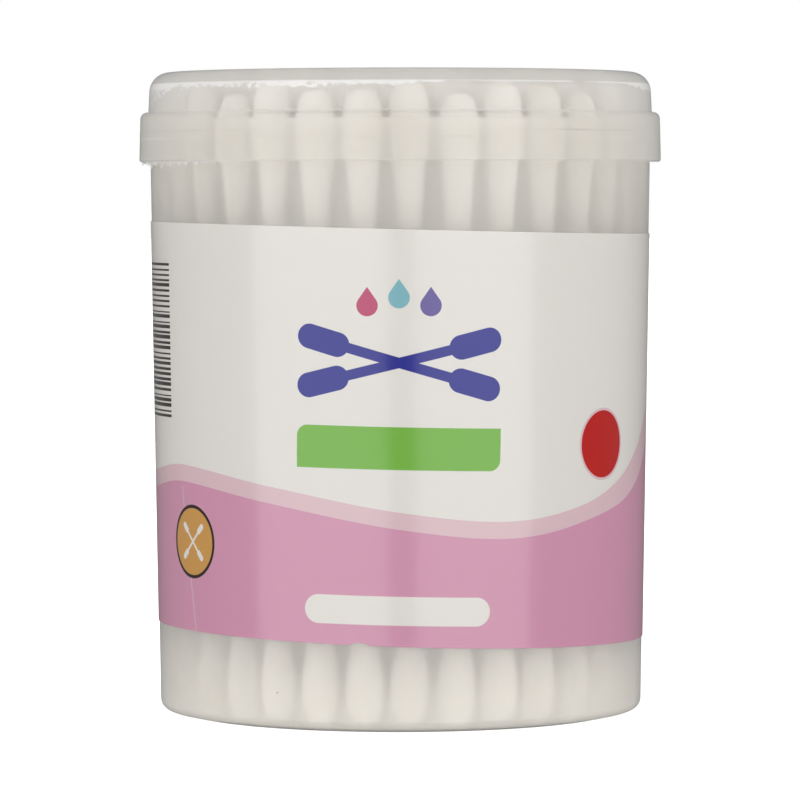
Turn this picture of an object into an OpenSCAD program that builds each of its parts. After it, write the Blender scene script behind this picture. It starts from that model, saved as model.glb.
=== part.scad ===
// Round tub of cotton swabs: a frosted tub with a lift-off domed lid, a printed wrap-round
// label, and a bundle of swabs that stand in rings on the tub's floor.
// The origin is the centre of the foot, +Z is up and the printed front faces -Y.

/* [Tub] */
// Diameter of the wall, carried down to the foot
tub_d = 58.6; // [48:0.1:70]
// Height of the rim above the foot
tub_h = 72.05; // [60:0.05:85]
// Lean of the wall, outwards towards the rim, in degrees
draft = 0.94; // [0.3:0.02:1.4]
// Thickness of the wall
tub_wall = 0.8; // [0.6:0.05:1]
// Thickness of the floor
tub_floor = 1.0; // [0.7:0.05:1.4]
// Radius of the outer corner between the wall and the underside
base_corner = 1.2; // [0.9:0.1:2]
// Radius of the inner corner between the wall and the floor
floor_corner = 1.0; // [0.5:0.1:1.6]
// Distance from the wall to the flat ring that the tub stands on
foot_inset = 3.0; // [2:0.1:3.4]
// Rise of the underside from that ring to the corner, in degrees
foot_rise = 12; // [6:1:14]
// Width of the flat ring that the tub stands on
foot_w = 3.5; // [2:0.1:6]
// Height of the shallow hollow inside the foot ring
foot_hollow = 0.35; // [0.15:0.05:0.5]

/* [Snap bead] */
// Drop from the rim to the middle of the bead
bead_drop = 1.9; // [1.5:0.05:2.6]
// Height of the bead
bead_h = 1.0; // [0.6:0.05:1.2]
// How far the bead stands out of the wall
bead_out = 0.4; // [0.25:0.01:0.5]

/* [Lid] */
// Radial clearance between the bead and the skirt
lid_clear = 0.1; // [0.08:0.01:0.3]
// Clearance between the rim and the underside of the ledge
seat_gap = 0.05; // [0.03:0.01:0.3]
// Thickness of the skirt
skirt_wall = 0.8; // [0.6:0.05:1.2]
// Height of the skirt, from its lower edge to the top of the ledge
skirt_h = 6.0; // [5:0.1:7]
// Lean of the skirt's outside, inwards towards the ledge, in degrees
skirt_draft = 1.4; // [0:0.1:2]
// Radius of the shoulder where the skirt turns into the ledge
shoulder_r = 0.8; // [0.3:0.05:0.8]
// Thickness of the ledge that rests over the rim
ledge_t = 0.9; // [0.7:0.05:1.2]
// Width of the ledge, from the skirt to the dome
ledge_w = 1.1; // [0.98:0.02:1.16]
// Thickness of the dome's side and top
dome_wall = 0.85; // [0.6:0.05:1]
// Radius of the corner round the dome's top
dome_corner = 2.4; // [1.2:0.1:3.2]
// Lean of the dome's side, inwards towards the top, in degrees
dome_draft = 3.0; // [0:0.1:5]
// Depth of the gate mark in the middle of the dome and of the floor
gate_depth = 0.25; // [0.1:0.05:0.4]
// Diameter of the gate mark
gate_d = 4.0; // [2:0.5:8]

/* [Label] */
// Thickness of the label
label_t = 0.1; // [0.06:0.01:0.2]
// Glue between the wall and the label
glue = 0.02; // [0.01:0.01:0.05]
// Height of the label
label_h = 48.75; // [38:0.05:60]
// Share of the bare wall below the lid that lies under the label
label_place = 0.564; // [0.3:0.002:0.7]
// Tilt of the lower edge, down to the right, in degrees
foot_tilt = 1.9; // [0:0.1:3]
// Tilt of the upper edge, down to the right, in degrees
top_tilt = 1.5; // [0:0.1:3]
// Width of the overlap where the label closes at the back
lap_w = 6; // [3:0.5:12]

/* [Print] */
// Thickness of a field of print
ink_t = 0.05; // [0.03:0.01:0.08]
// Clearance under each field of print
ink_gap = 0.02; // [0.02:0.01:0.05]
// Tilt of the printed shapes, down to the right, in degrees
print_tilt = 1.3; // [0:0.1:3]
// Width of the pale ribbon along the wave
ribbon_w = 2.0; // [1:0.1:3]
// Extra width of the ribbon where the wave is steep
ribbon_flare = 2.6; // [0:0.1:4]
// Size of the banner
banner = [24, 5.0]; // [3:0.1:26]
// Size of the pill
pill = [22.4, 3.4]; // [3:0.1:26]
// Diameter of the plain disc
disc_d = 8.0; // [5:0.1:9]
// Width of the pale line round the disc
disc_line = 0.3; // [0.2:0.05:0.6]
// Diameter of the badge
badge_d = 8.8; // [6:0.1:10]
// Width of the dark line round the badge
badge_line = 0.4; // [0.2:0.05:0.8]
// Length of each swab in the crossed sign
sign_len = 25; // [18:0.5:28]
// Angle of each swab in the crossed sign, in degrees
sign_angle = 15; // [10:1:24]
// Length of each swab in the small sign on the badge
badge_sign_len = 6; // [3:0.5:7]
// Angle of each swab in the small sign, in degrees
badge_sign_angle = 45; // [20:1:45]
// Number of bars in the block of lines
bars = 24; // [8:1:30]
// Length of the bars
bar_len = 15; // [8:0.5:20]

/* [Swabs] */
// Length of a swab
swab_len = 75; // [60:0.1:90]
// Diameter of the stick
stick_d = 2.4; // [2:0.1:2.6]
// Diameter of a cotton head at its widest
head_d = 4.7; // [4.2:0.05:4.8]
// Diameter of the blunt end of a head
tip_d = 2.4; // [1.6:0.1:3]
// Diameter of a head where the cotton ends on the stick
cuff_d = 3.0; // [2.9:0.05:3.3]
// Distance from the tip to the widest place
nose_len = 3.2; // [2:0.1:4.5]
// Length of the cotton on an upper head
upper_len = 17; // [12:0.5:20]
// Length of the cotton on a lower head
lower_len = 12; // [9:0.5:18]
// Cotton between the end of the stick and the tip
tip_cover = 2.5; // [1.5:0.1:4]
// Clearance between the stick and the cotton
stick_gap = 0.05; // [0.02:0.01:0.1]

/* [Bundle] */
// Turn of the whole bundle in the tub, to the right, in degrees
bundle_turn = 5.3; // [0:0.1:12]
// Gap between the wall and the outer ring of heads
wall_gap = 0.35; // [0.3:0.05:0.6]
// Gap between two rings of heads
ring_gap = 0.18; // [0.1:0.01:0.2]
// Least gap between two heads of the outer ring, along the ring
outer_gap = 0.5; // [0.3:0.05:0.8]
// Least gap between two heads of another ring, along the ring
side_gap = 0.2; // [0.1:0.05:0.4]
// Gap between the floor, or its rounded corner, and the lowest head
stand_gap = 0.05; // [0.02:0.01:0.2]
// Most that a swab is raised by its neighbours
lift = 0.3; // [0:0.05:0.6]
// Most that a swab is longer or shorter than the others
len_spread = 0.35; // [0:0.05:0.5]
// Room between the highest tip and the dome
head_room = 0.3; // [0.1:0.01:1]

/* [Hidden] */
$fn = 96;

// Fits between the tub and the lid
bead_z = tub_h - bead_drop;
skirt_in = wall_r(bead_z) + bead_out + lid_clear;
skirt_out = skirt_in + skirt_wall;
ledge_under = tub_h + seat_gap;
ledge_top = ledge_under + ledge_t;
skirt_foot = ledge_top - skirt_h;
dome_r = skirt_out - ledge_w;
rim_round = tub_wall / 4;
lead_in = skirt_wall / 4;
floor_r = wall_r(tub_floor) - tub_wall;
inner_dome_r = dome_r - dome_wall;
inner_dome_corner = dome_corner - dome_wall;

// The rings of swabs, from the wall to the one swab in the middle
outer_ring_r = floor_r - wall_gap - head_d / 2;
rings = 1 + floor((outer_ring_r - head_d - side_gap) / (head_d + ring_gap));
nose_steps = 5;
cuff_steps = 6;
// The share of the free gap that a swab may wander along its ring
wander = 0.35;

// The outer tips clear the floor's rounded corner, which sets how high the swabs reach
corner_rise = corner_climb(floor_corner,
                           outer_ring_r + tip_d / 2 - fillet_x(floor_r, floor_corner, draft));
swab_top = tub_floor + stand_gap + corner_rise + lift + swab_len + len_spread;

// The outer swabs lean out with the wall, as far as the dome's side lets them
lean_len = swab_len - nose_len;
wall_limit = outer_ring_r + lean_len * tan(draft);
dome_limit = inner_dome_r - (swab_top - nose_len - ledge_top) * tan(dome_draft)
             - wall_gap - head_d / 2;
outer_lean = atan((min(wall_limit, dome_limit) - outer_ring_r) / lean_len);

// The dome clears the highest tips, also where its corner bends down over the outer ones
dome_need = swab_top + head_room + dome_wall - ledge_top;
dome_flat_r = dome_r - (dome_need - dome_corner) * tan(dome_draft) - dome_corner;
tip_reach = outer_ring_r + swab_len * sin(outer_lean) + tip_d / 2;
dome_h = max(dome_corner + dome_wall,
             dome_need + corner_climb(inner_dome_corner, tip_reach - dome_flat_r));
dome_top = ledge_top + dome_h;

// Steps in a corner's arc, in a fillet inside it and in a small round
corner_steps = 8;
fillet_steps = 6;
round_steps = 3;

// The label's lower edge at the middle of the front, and its layers outwards from the wall
label_in = glue;
label_out = label_in + label_t;
first_ink = label_out + ink_gap;
second_ink = first_ink + ink_t + ink_gap;
third_ink = second_ink + ink_t + ink_gap;
label_foot = label_place * (skirt_foot - label_h);
label_mid_r = wall_r(label_foot + label_h / 2) + label_out;
lap_angle = lap_w / label_mid_r * 180 / PI;

// The wave between the white and the pink, as azimuth from the front, in degrees to the
// right, and height above the label's lower edge, in percent of the label's height
wave = [[-180, 49.2], [-140, 40.2], [-105, 38.6], [-80, 40.2], [-60, 42.3], [-30, 37.9],
        [0, 32.2], [25, 29.7], [45, 32.6], [60, 38.2], [72, 46.4], [82, 55.8], [100, 67.7],
        [125, 71.8], [155, 61.5]];
wave_steps = 120;
// The ribbon starts to widen at the first azimuth and is at its widest at the second
flare_from = 45;
flare_to = 82;

// Place of each printed shape, as azimuth and percent of the label's height
banner_at = [-0.5, 47.2];
pill_at = [-0.7, 8.6];
disc_at = [53.2, 47.5];
badge_at = [-56.2, 23.6];
sign_at = [-0.3, 68.1];
bars_at = [-66, 53.5];
banner_round = 1.3;
// Stick and head of a swab in a sign, as shares of its length
sign_stick = 0.048;
sign_head = [0.256, 0.116];
drop_d = 2.5;
drop_rise = 7.6;
drop_pitch = 3.7;
bars_part = 38.6;
bar_widths = [0.26, 0.5, 0.36, 0.42];

// Height above the label's lower edge of a percentage of its height
function up_label(percent) = label_h * percent / 100;

function wall_r(z) = tub_d / 2 + z * tan(draft);

// Points on an arc about a centre, from one angle to another
function arc(centre, r, from, to, steps) =
    [for (i = [0 : steps]) let (a = from + (to - from) * i / steps)
        centre + r * [cos(a), sin(a)]];

// Centre of a fillet that touches a level face at z and a wall that leans outwards by
// lean degrees and meets the level at r
function fillet_x(r, corner, lean) = r + corner * (sin(lean) - 1) / cos(lean);

// Centre of a corner that touches a wall, which leans outwards from r by lean degrees, and an
// underside, which rises from foot by rise degrees
function corner_centre(r, foot, corner, lean, rise) =
    let (wall_off = r * cos(lean) - corner, under_off = foot * sin(rise) - corner)
        [wall_off * cos(rise) - under_off * sin(lean),
         wall_off * sin(rise) - under_off * cos(lean)] / cos(lean + rise);

// A steady number from -1 to 1 for swab i of ring k
function waver(i, k) = sin(i * 137.5 + k * 71);

// How far a rounded corner has left its level face, at a distance past the corner's start
function corner_climb(corner, past) =
    past > 0 ? corner - sqrt(max(0, corner * corner - past * past)) : 0;

// Shallow round mark that the gate leaves, as a cutter on a face that looks up
module gate_mark() {
    cylinder(h = 2 * gate_depth, d = gate_d, center = true);
}

module tub() {
    foot_r = tub_d / 2 - foot_inset;
    rim_r = wall_r(tub_h);
    bead = [for (a = [-90 : 180 / corner_steps : 90])
        let (z = bead_z + bead_h / 2 * sin(a)) [wall_r(z) + bead_out * cos(a), z]];
    section = concat(
        [[0, foot_hollow], [foot_r - foot_w - foot_hollow, foot_hollow], [foot_r - foot_w, 0],
         [foot_r, 0]],
        arc(corner_centre(tub_d / 2, foot_r, base_corner, draft, foot_rise), base_corner,
            foot_rise - 90, -draft, corner_steps),
        bead,
        arc([rim_r - rim_round, tub_h - rim_round], rim_round, 0, 90, round_steps),
        arc([rim_r - tub_wall + rim_round, tub_h - rim_round], rim_round, 90, 180, round_steps),
        arc([fillet_x(floor_r, floor_corner, draft), tub_floor + floor_corner],
            floor_corner, -draft, -90, fillet_steps),
        [[0, tub_floor]]);
    color([0.93, 0.92, 0.89, 0.45])
        difference() {
            rotate_extrude() polygon(section);
            translate([0, 0, foot_hollow]) gate_mark();
        }
}

module lid() {
    skirt_top_r = skirt_out - (skirt_h - shoulder_r) * tan(skirt_draft);
    dome_top_r = dome_r - (dome_h - dome_corner) * tan(dome_draft);
    section = concat(
        [[skirt_in + lead_in, skirt_foot], [skirt_out - lead_in, skirt_foot],
         [skirt_out, skirt_foot + lead_in]],
        arc([skirt_top_r - shoulder_r, ledge_top - shoulder_r], shoulder_r, 0, 90, fillet_steps),
        [[dome_r, ledge_top]],
        arc([dome_top_r - dome_corner, dome_top - dome_corner], dome_corner, dome_draft, 90,
            corner_steps),
        [[0, dome_top], [0, dome_top - dome_wall]],
        arc([dome_top_r - dome_corner, dome_top - dome_corner], inner_dome_corner, 90,
            dome_draft, fillet_steps),
        [[inner_dome_r, ledge_under], [skirt_in - lead_in, ledge_under],
         [skirt_in, ledge_under - lead_in], [skirt_in, skirt_foot + 2 * lead_in]]);
    color([0.95, 0.95, 0.93, 0.5])
        difference() {
            rotate_extrude() polygon(section);
            translate([0, 0, dome_top]) gate_mark();
        }
}

// Section of a thin layer on the wall, between two heights
module layer_section(off, t, low, high) {
    polygon([[wall_r(low) + off, low], [wall_r(low) + off + t, low],
             [wall_r(high) + off + t, high], [wall_r(high) + off, high]]);
}

// Upright slab between the label's two slanting edges, seen from the front
module label_slab() {
    reach = tub_d;
    rotate([90, 0, 0])
        linear_extrude(height = 2 * reach, center = true)
            polygon([[-reach, label_foot + reach * tan(foot_tilt)],
                     [reach, label_foot - reach * tan(foot_tilt)],
                     [reach, label_foot + label_h - reach * tan(top_tilt)],
                     [-reach, label_foot + label_h + reach * tan(top_tilt)]]);
}

// The strip is rolled once round the tub, and its end laps over its start at the back
module label() {
    low = label_foot - tub_d * tan(foot_tilt) / 2 - label_t;
    high = label_foot + label_h + tub_d * tan(top_tilt) / 2 + label_t;
    color([0.9, 0.89, 0.87])
        intersection() {
            union() {
                rotate_extrude() layer_section(label_in, label_t, low, high);
                rotate([0, 0, 90 - lap_angle / 2])
                    rotate_extrude(angle = lap_angle)
                        layer_section(label_in + label_t / 2, 1.5 * label_t, low, high);
            }
            label_slab();
        }
}

// Height of the wave at an azimuth, in percent, as a smooth curve through its points
function wave_point(i) =
    let (n = len(wave), turn = floor(i / n)) [wave[i - turn * n][0] + 360 * turn, wave[i - turn * n][1]];
function wave_slope(i) =
    let (before = wave_point(i - 1), after = wave_point(i + 1))
        (after[1] - before[1]) / (after[0] - before[0]);
function wave_h(a) =
    let (i = max([for (j = [0 : len(wave) - 1]) wave[j][0] <= a ? j : 0]),
         p = wave_point(i), q = wave_point(i + 1), w = q[0] - p[0], u = (a - p[0]) / w)
        p[1] * (2 * pow(u, 3) - 3 * pow(u, 2) + 1)
        + w * wave_slope(i) * (pow(u, 3) - 2 * pow(u, 2) + u)
        + q[1] * (3 * pow(u, 2) - 2 * pow(u, 3))
        + w * wave_slope(i + 1) * (pow(u, 3) - pow(u, 2));

// Width of the ribbon at an azimuth: it widens to the right and narrows again at the back
function ribbon_h(a) =
    let (rise = min(1, max(0, (a - flare_from) / (flare_to - flare_from))),
         fall = min(1, max(0, (180 - a) / (180 - flare_to))))
        ribbon_w + ribbon_flare * pow(sin(90 * rise), 2) * pow(sin(90 * fall), 2);

function foot_z(a) = label_foot - label_mid_r * sin(a) * tan(foot_tilt);
function ribbon_top(a) = label_foot + up_label(wave_h(a));
function ribbon_foot(a) = ribbon_top(a) - ribbon_h(a);

// A field of print all round the label, between a list of lower heights and a list of
// upper heights, one for each step. It climbs over the lap at the back.
module round_field(low, high) {
    n = len(low);
    function climb(a) = abs(a) > 180 - lap_angle / 2 - 360 / n ? label_t : 0;
    function at(i, z, off) =
        let (a = 360 * i / n - 180, r = wall_r(z) + off + climb(a)) [r * sin(a), -r * cos(a), z];
    points = [for (i = [0 : n - 1])
        each [at(i, low[i], first_ink), at(i, low[i], first_ink + ink_t),
              at(i, high[i], first_ink + ink_t), at(i, high[i], first_ink)]];
    faces = [for (i = [0 : n - 1], k = [0 : 3])
        let (j = (i + 1) % n, m = (k + 1) % 4) [4 * i + k, 4 * i + m, 4 * j + m, 4 * j + k]];
    polyhedron(points, faces, convexity = 4);
}

function azimuths() = [for (i = [0 : wave_steps - 1]) 360 * i / wave_steps - 180];

// An outline in the plane of the page, laid on the label at an azimuth and a height, at a
// distance from the wall
module printed(place, off) {
    reach = wall_r(tub_h) + off + ink_t;
    intersection() {
        rotate_extrude()
            layer_section(off, ink_t, label_foot, label_foot + label_h);
        rotate([0, 0, place[0]])
            translate([0, 0, label_foot + up_label(place[1])])
                rotate([90, 0, 0])
                    linear_extrude(height = reach)
                        rotate(-print_tilt) children();
    }
}

// A bar with round ends
module bar(size) {
    square([size[0] - size[1], size[1]], center = true);
    for (side = [-1, 1]) translate([side * (size[0] - size[1]) / 2, 0]) circle(d = size[1]);
}

// Two crossed swabs in outline, as a plain sign
module crossed_swabs(size, angle) {
    head = size * sign_head;
    for (turn = [-angle, angle])
        rotate(turn) {
            square([size - head[1], size * sign_stick], center = true);
            for (side = [-1, 1]) translate([side * (size - head[0]) / 2, 0]) bar(head);
        }
}

// A drop with its point up, whose straight sides touch its round end at an angle
module drop(d, side = 35) {
    circle(d = d);
    polygon([[-cos(side), sin(side)] * d / 2, [cos(side), sin(side)] * d / 2,
             [0, d / 2 / sin(side)]]);
}

module print_pink() {
    color([0.82, 0.6, 0.7])
        round_field([for (a = azimuths()) foot_z(a)],
                    [for (a = azimuths()) ribbon_foot(a) - ink_gap]);
}

module print_pale_pink() {
    color([0.87, 0.76, 0.79])
        round_field([for (a = azimuths()) ribbon_foot(a)], [for (a = azimuths()) ribbon_top(a)]);
}

module print_green() {
    color([0.56, 0.75, 0.4])
        printed(banner_at, second_ink)
            difference() {
                square(banner, center = true);
                for (turn = [0, 180])
                    rotate(turn)
                        difference() {
                            translate([-banner[0] / 2, banner[1] / 2 - banner_round])
                                square(banner_round);
                            translate([banner_round - banner[0] / 2, banner[1] / 2 - banner_round])
                                circle(r = banner_round);
                        }
            }
}

module print_red() {
    color([0.75, 0.22, 0.17]) printed(disc_at, second_ink) circle(d = disc_d);
}

// The pill, the pale line round the disc and the crossed swabs on the badge
module print_white() {
    color([0.95, 0.93, 0.92]) {
        printed(pill_at, second_ink) bar(pill);
        printed(disc_at, second_ink)
            difference() {
                circle(d = disc_d + 2 * disc_line);
                circle(d = disc_d + 2 * ink_gap);
            }
        printed(badge_at, third_ink) crossed_swabs(badge_sign_len, badge_sign_angle);
    }
}

module print_orange() {
    color([0.83, 0.63, 0.27])
        printed(badge_at, second_ink) circle(d = badge_d - 2 * badge_line - 2 * ink_gap);
}

// The line round the badge, and a block of plain bars that run round the tub
module print_dark() {
    color([0.2, 0.15, 0.14]) {
        printed(badge_at, second_ink)
            difference() {
                circle(d = badge_d);
                circle(d = badge_d - 2 * badge_line);
            }
        span = bar_len / label_mid_r * 180 / PI;
        for (i = [0 : bars - 1]) {
            low = label_foot + up_label(bars_at[1] + i * bars_part / bars);
            rotate([0, 0, bars_at[0] - span - 90])
                rotate_extrude(angle = span)
                    layer_section(first_ink, ink_t, low, low + bar_widths[(i * 3) % len(bar_widths)]);
        }
    }
}

module print_blue() {
    color([0.27, 0.29, 0.63])
        printed(sign_at, second_ink) crossed_swabs(sign_len, sign_angle);
}

// One of three drops over the crossed swabs, counted from the left
module printed_drop(i) {
    printed(sign_at, second_ink)
        translate([drop_pitch * (i - 1), drop_rise - (i == 1 ? 0 : drop_pitch / 4)])
            drop(drop_d);
}

module print_rose() { color([0.8, 0.3, 0.48]) printed_drop(0); }
module print_teal() { color([0.5, 0.75, 0.78]) printed_drop(1); }
module print_violet() { color([0.42, 0.36, 0.66]) printed_drop(2); }

// Radius of ring k, counted from the wall, with one swab in the middle
function ring_r(k) = k < rings ? outer_ring_r - k * (head_d + ring_gap) : 0;
function ring_count(k) =
    k < rings ? floor(2 * PI * ring_r(k) / (head_d + (k == 0 ? outer_gap : side_gap))) : 1;

// How far a swab of ring k may wander to each side, in degrees
function ring_wander(k) =
    k < rings
        ? wander * (2 * ring_r(k) * sin(180 / ring_count(k)) - head_d) / ring_r(k) * 180 / PI / 2
        : 0;
function swab_foot(i, k) =
    tub_floor + stand_gap + (k == 0 ? corner_rise : 0) + lift * (1 + waver(i, k + 3)) / 2;
function swab_size(i, k) = swab_len + len_spread * waver(i, k + 8);

// Puts its child at the foot of each swab of ring k, with the swab's lean
module each_swab(k) {
    lean = outer_lean * ring_r(k) / outer_ring_r;
    for (i = [0 : ring_count(k) - 1])
        rotate([0, 0, bundle_turn + 360 * i / ring_count(k) + ring_wander(k) * waver(i, k)])
            translate([ring_r(k), 0, swab_foot(i, k)])
                rotate([0, lean, 0]) {
                    $swab = swab_size(i, k);
                    children();
                }
}

// Half section of a cotton head, with its tip at the origin and the stick's bore
module head_section(head_len) {
    bore_r = stick_d / 2 + stick_gap;
    nose = [for (i = [0 : nose_steps])
        let (a = 90 * i / nose_steps)
            [(tip_d + (head_d - tip_d) * sin(a)) / 2, nose_len * (1 - cos(a))]];
    cuff = [for (i = [1 : cuff_steps])
        let (u = i / cuff_steps)
            [(cuff_d + (head_d - cuff_d) * (1 + cos(180 * u)) / 2) / 2,
             nose_len + (head_len - nose_len) * u]];
    polygon(concat([[0, 0]], nose, cuff,
                   [[bore_r, head_len], [bore_r, tip_cover - stick_gap],
                    [0, tip_cover - stick_gap]]));
}

// The sticks, upper heads and lower heads of the rings from one to another
module sticks(from, to) {
    color([0.93, 0.93, 0.9])
        for (k = [from : to])
            each_swab(k)
                translate([0, 0, tip_cover]) cylinder(h = $swab - 2 * tip_cover, d = stick_d);
}

module upper_heads(from, to) {
    color([0.97, 0.96, 0.94])
        for (k = [from : to])
            each_swab(k)
                translate([0, 0, $swab]) mirror([0, 0, 1]) rotate_extrude() head_section(upper_len);
}

module lower_heads(from, to) {
    color([0.97, 0.96, 0.94])
        for (k = [from : to])
            each_swab(k) rotate_extrude() head_section(lower_len);
}

tub();
lid();
label();
print_pink();
print_pale_pink();
print_green();
print_red();
print_white();
print_orange();
print_dark();
print_blue();
print_rose();
print_teal();
print_violet();
sticks(0, 0);  // sticks_outer
sticks(1, 1);  // sticks_second
sticks(2, rings);  // sticks_inner
upper_heads(0, 0);  // upper_heads_outer
upper_heads(1, 1);  // upper_heads_second
upper_heads(2, rings);  // upper_heads_inner
lower_heads(0, 0);  // lower_heads_outer
lower_heads(1, 1);  // lower_heads_second
lower_heads(2, rings);  // lower_heads_inner
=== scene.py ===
"""Looks of a round tub of cotton swabs: a milky tub and lid, a glossy printed label and the
swabs that stand in rings inside. Lengths are in metres, and the printed front faces -Y."""

import logging
import math
from collections.abc import Iterator
from dataclasses import dataclass, field
from enum import Enum

import bpy
import numpy as np
from mathutils import Matrix, Vector, noise


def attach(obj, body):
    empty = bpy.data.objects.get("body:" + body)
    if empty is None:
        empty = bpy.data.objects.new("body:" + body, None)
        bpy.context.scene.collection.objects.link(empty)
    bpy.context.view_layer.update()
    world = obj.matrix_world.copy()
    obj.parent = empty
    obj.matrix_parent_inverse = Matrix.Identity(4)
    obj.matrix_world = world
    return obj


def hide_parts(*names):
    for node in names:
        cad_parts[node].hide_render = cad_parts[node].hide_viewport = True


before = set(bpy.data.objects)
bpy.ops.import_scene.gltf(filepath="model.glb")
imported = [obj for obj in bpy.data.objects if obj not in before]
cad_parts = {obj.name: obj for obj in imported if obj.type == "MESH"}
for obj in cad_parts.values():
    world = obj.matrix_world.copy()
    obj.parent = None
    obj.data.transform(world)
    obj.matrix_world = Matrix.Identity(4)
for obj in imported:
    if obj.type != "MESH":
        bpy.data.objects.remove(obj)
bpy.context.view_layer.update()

LOG = logging.getLogger("swab_tub")
MM = 0.001
Colour = tuple[float, float, float]
Point2 = tuple[float, float]
Point3 = tuple[float, float, float]
Point4 = tuple[float, float, float, float]
WHITE: Colour = (1.0, 1.0, 1.0)


class Body(Enum):
    """The two CAD bodies that the pieces ride on."""

    TUB = "tub"
    LID = "lid"


class Ring(Enum):
    """Groups of swab rings, each with the numbers of its first and last ring."""

    OUTER = ("outer", 0, 0)
    SECOND = ("second", 1, 1)
    INNER = ("inner", 2, 5)

    @property
    def label(self) -> str:
        """The group's name, as the CAD nodes use it."""
        return self.value[0]

    @property
    def numbers(self) -> range:
        """The numbers of the group's rings, counted from the wall."""
        return range(self.value[1], self.value[2] + 1)


def arc(centre: Point2, radius: float, start: float, end: float, steps: int) -> list[Point2]:
    """Points on an arc in the half section.

    Args:
        centre: Radius and height of the arc's centre.
        radius: Radius of the arc.
        start: First angle in degrees, from the outward direction.
        end: Last angle in degrees.
        steps: Number of chords.

    Returns:
        The points from start to end.
    """
    angles = np.radians(np.linspace(start, end, steps + 1))
    return [(centre[0] + radius * math.cos(a), centre[1] + radius * math.sin(a)) for a in angles]


def fillet_centre(foot: float, radius: float, lean: float) -> float:
    """Centre of a fillet between a level face and a wall that leans outwards.

    Args:
        foot: Radius where the wall meets the level face.
        radius: Radius of the fillet.
        lean: Lean of the wall in degrees.

    Returns:
        Radius of the fillet's centre.
    """
    return foot + radius * (math.sin(math.radians(lean)) - 1) / math.cos(math.radians(lean))


def corner_centre(wall_r: float, foot_r: float, radius: float, lean: float,
                  rise: float) -> Point2:
    """Centre of a corner between a leaning wall and an underside that rises to it.

    Args:
        wall_r: Radius of the wall, carried down to the level of the foot.
        foot_r: Radius where the underside starts to rise.
        radius: Radius of the corner.
        lean: Lean of the wall in degrees.
        rise: Rise of the underside in degrees.

    Returns:
        Radius and height of the corner's centre.
    """
    lean, rise = math.radians(lean), math.radians(rise)
    wall_off = wall_r * math.cos(lean) - radius
    under_off = foot_r * math.sin(rise) - radius
    across = wall_off * math.cos(rise) - under_off * math.sin(lean)
    up = wall_off * math.sin(rise) - under_off * math.cos(lean)
    return across / math.cos(lean + rise), up / math.cos(lean + rise)


def wrapped(azimuth: float) -> float:
    """An azimuth in degrees, brought to the turn from -180 to 180."""
    return (azimuth + 180) % 360 - 180


def progress(value: float, start: float, end: float) -> float:
    """How far a value has come from start to end, from 0 to 1."""
    return min(1.0, max(0.0, (value - start) / (end - start)))


def dimmed(colour: Colour, share: float) -> Colour:
    """A colour with only a share of its light."""
    return tuple(share * c for c in colour)


def mesh_object(name: str, points: list, faces: list, sharp: float = 40) -> bpy.types.Object:
    """Makes a smooth-shaded mesh object at the origin.

    Args:
        name: Name of the piece.
        points: Vertex places.
        faces: Vertex numbers of each face, counter-clockwise from outside.
        sharp: Angle in degrees past which an edge stays sharp.

    Returns:
        The new object, linked to the scene.
    """
    mesh = bpy.data.meshes.new(name)
    mesh.from_pydata(points, [], faces)
    mesh.validate()
    mesh.shade_smooth()
    mesh.set_sharp_from_angle(angle=math.radians(sharp))
    piece = bpy.data.objects.new(name, mesh)
    bpy.context.scene.collection.objects.link(piece)
    return piece


def lathe(name: str, outline: list[Point2], segments: int) -> bpy.types.Object:
    """Turns a half section round the Z axis into a closed shell.

    Args:
        name: Name of the piece.
        outline: Radius and height of each point, counter-clockwise, from axis to axis.
        segments: Number of steps round the axis.

    Returns:
        The shell, with its normals outwards.
    """
    points: list[Point3] = []
    rings: list[list[int]] = []
    for radius, height in outline:
        count = 1 if radius == 0 else segments
        rings.append(list(range(len(points), len(points) + count)))
        for j in range(count):
            turn = 2 * math.pi * j / segments
            points.append((radius * math.cos(turn), radius * math.sin(turn), height))
    faces: list[tuple[int, ...]] = []
    for low, high in zip(rings, rings[1:]):
        for j in range(segments):
            corners = (low[j % len(low)], low[(j + 1) % len(low)],
                       high[(j + 1) % len(high)], high[j % len(high)])
            faces.append(tuple(dict.fromkeys(corners)))
    return mesh_object(name, points, faces)


def finish_piece(piece: bpy.types.Object, material: bpy.types.Material, body: Body,
                 stands_for: list[str]) -> None:
    """Dresses a finished piece and ties it to the CAD frame.

    Args:
        piece: The finished mesh.
        material: Its only material.
        body: The CAD body that it rides on.
        stands_for: The CAD nodes that it replaces.
    """
    piece.data.materials.clear()
    piece.data.materials.append(material)
    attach(piece, body.value)
    if stands_for:
        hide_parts(*stands_for)
    LOG.info("%s: %d faces, rides on %s", piece.name, len(piece.data.polygons), body.value)


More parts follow.
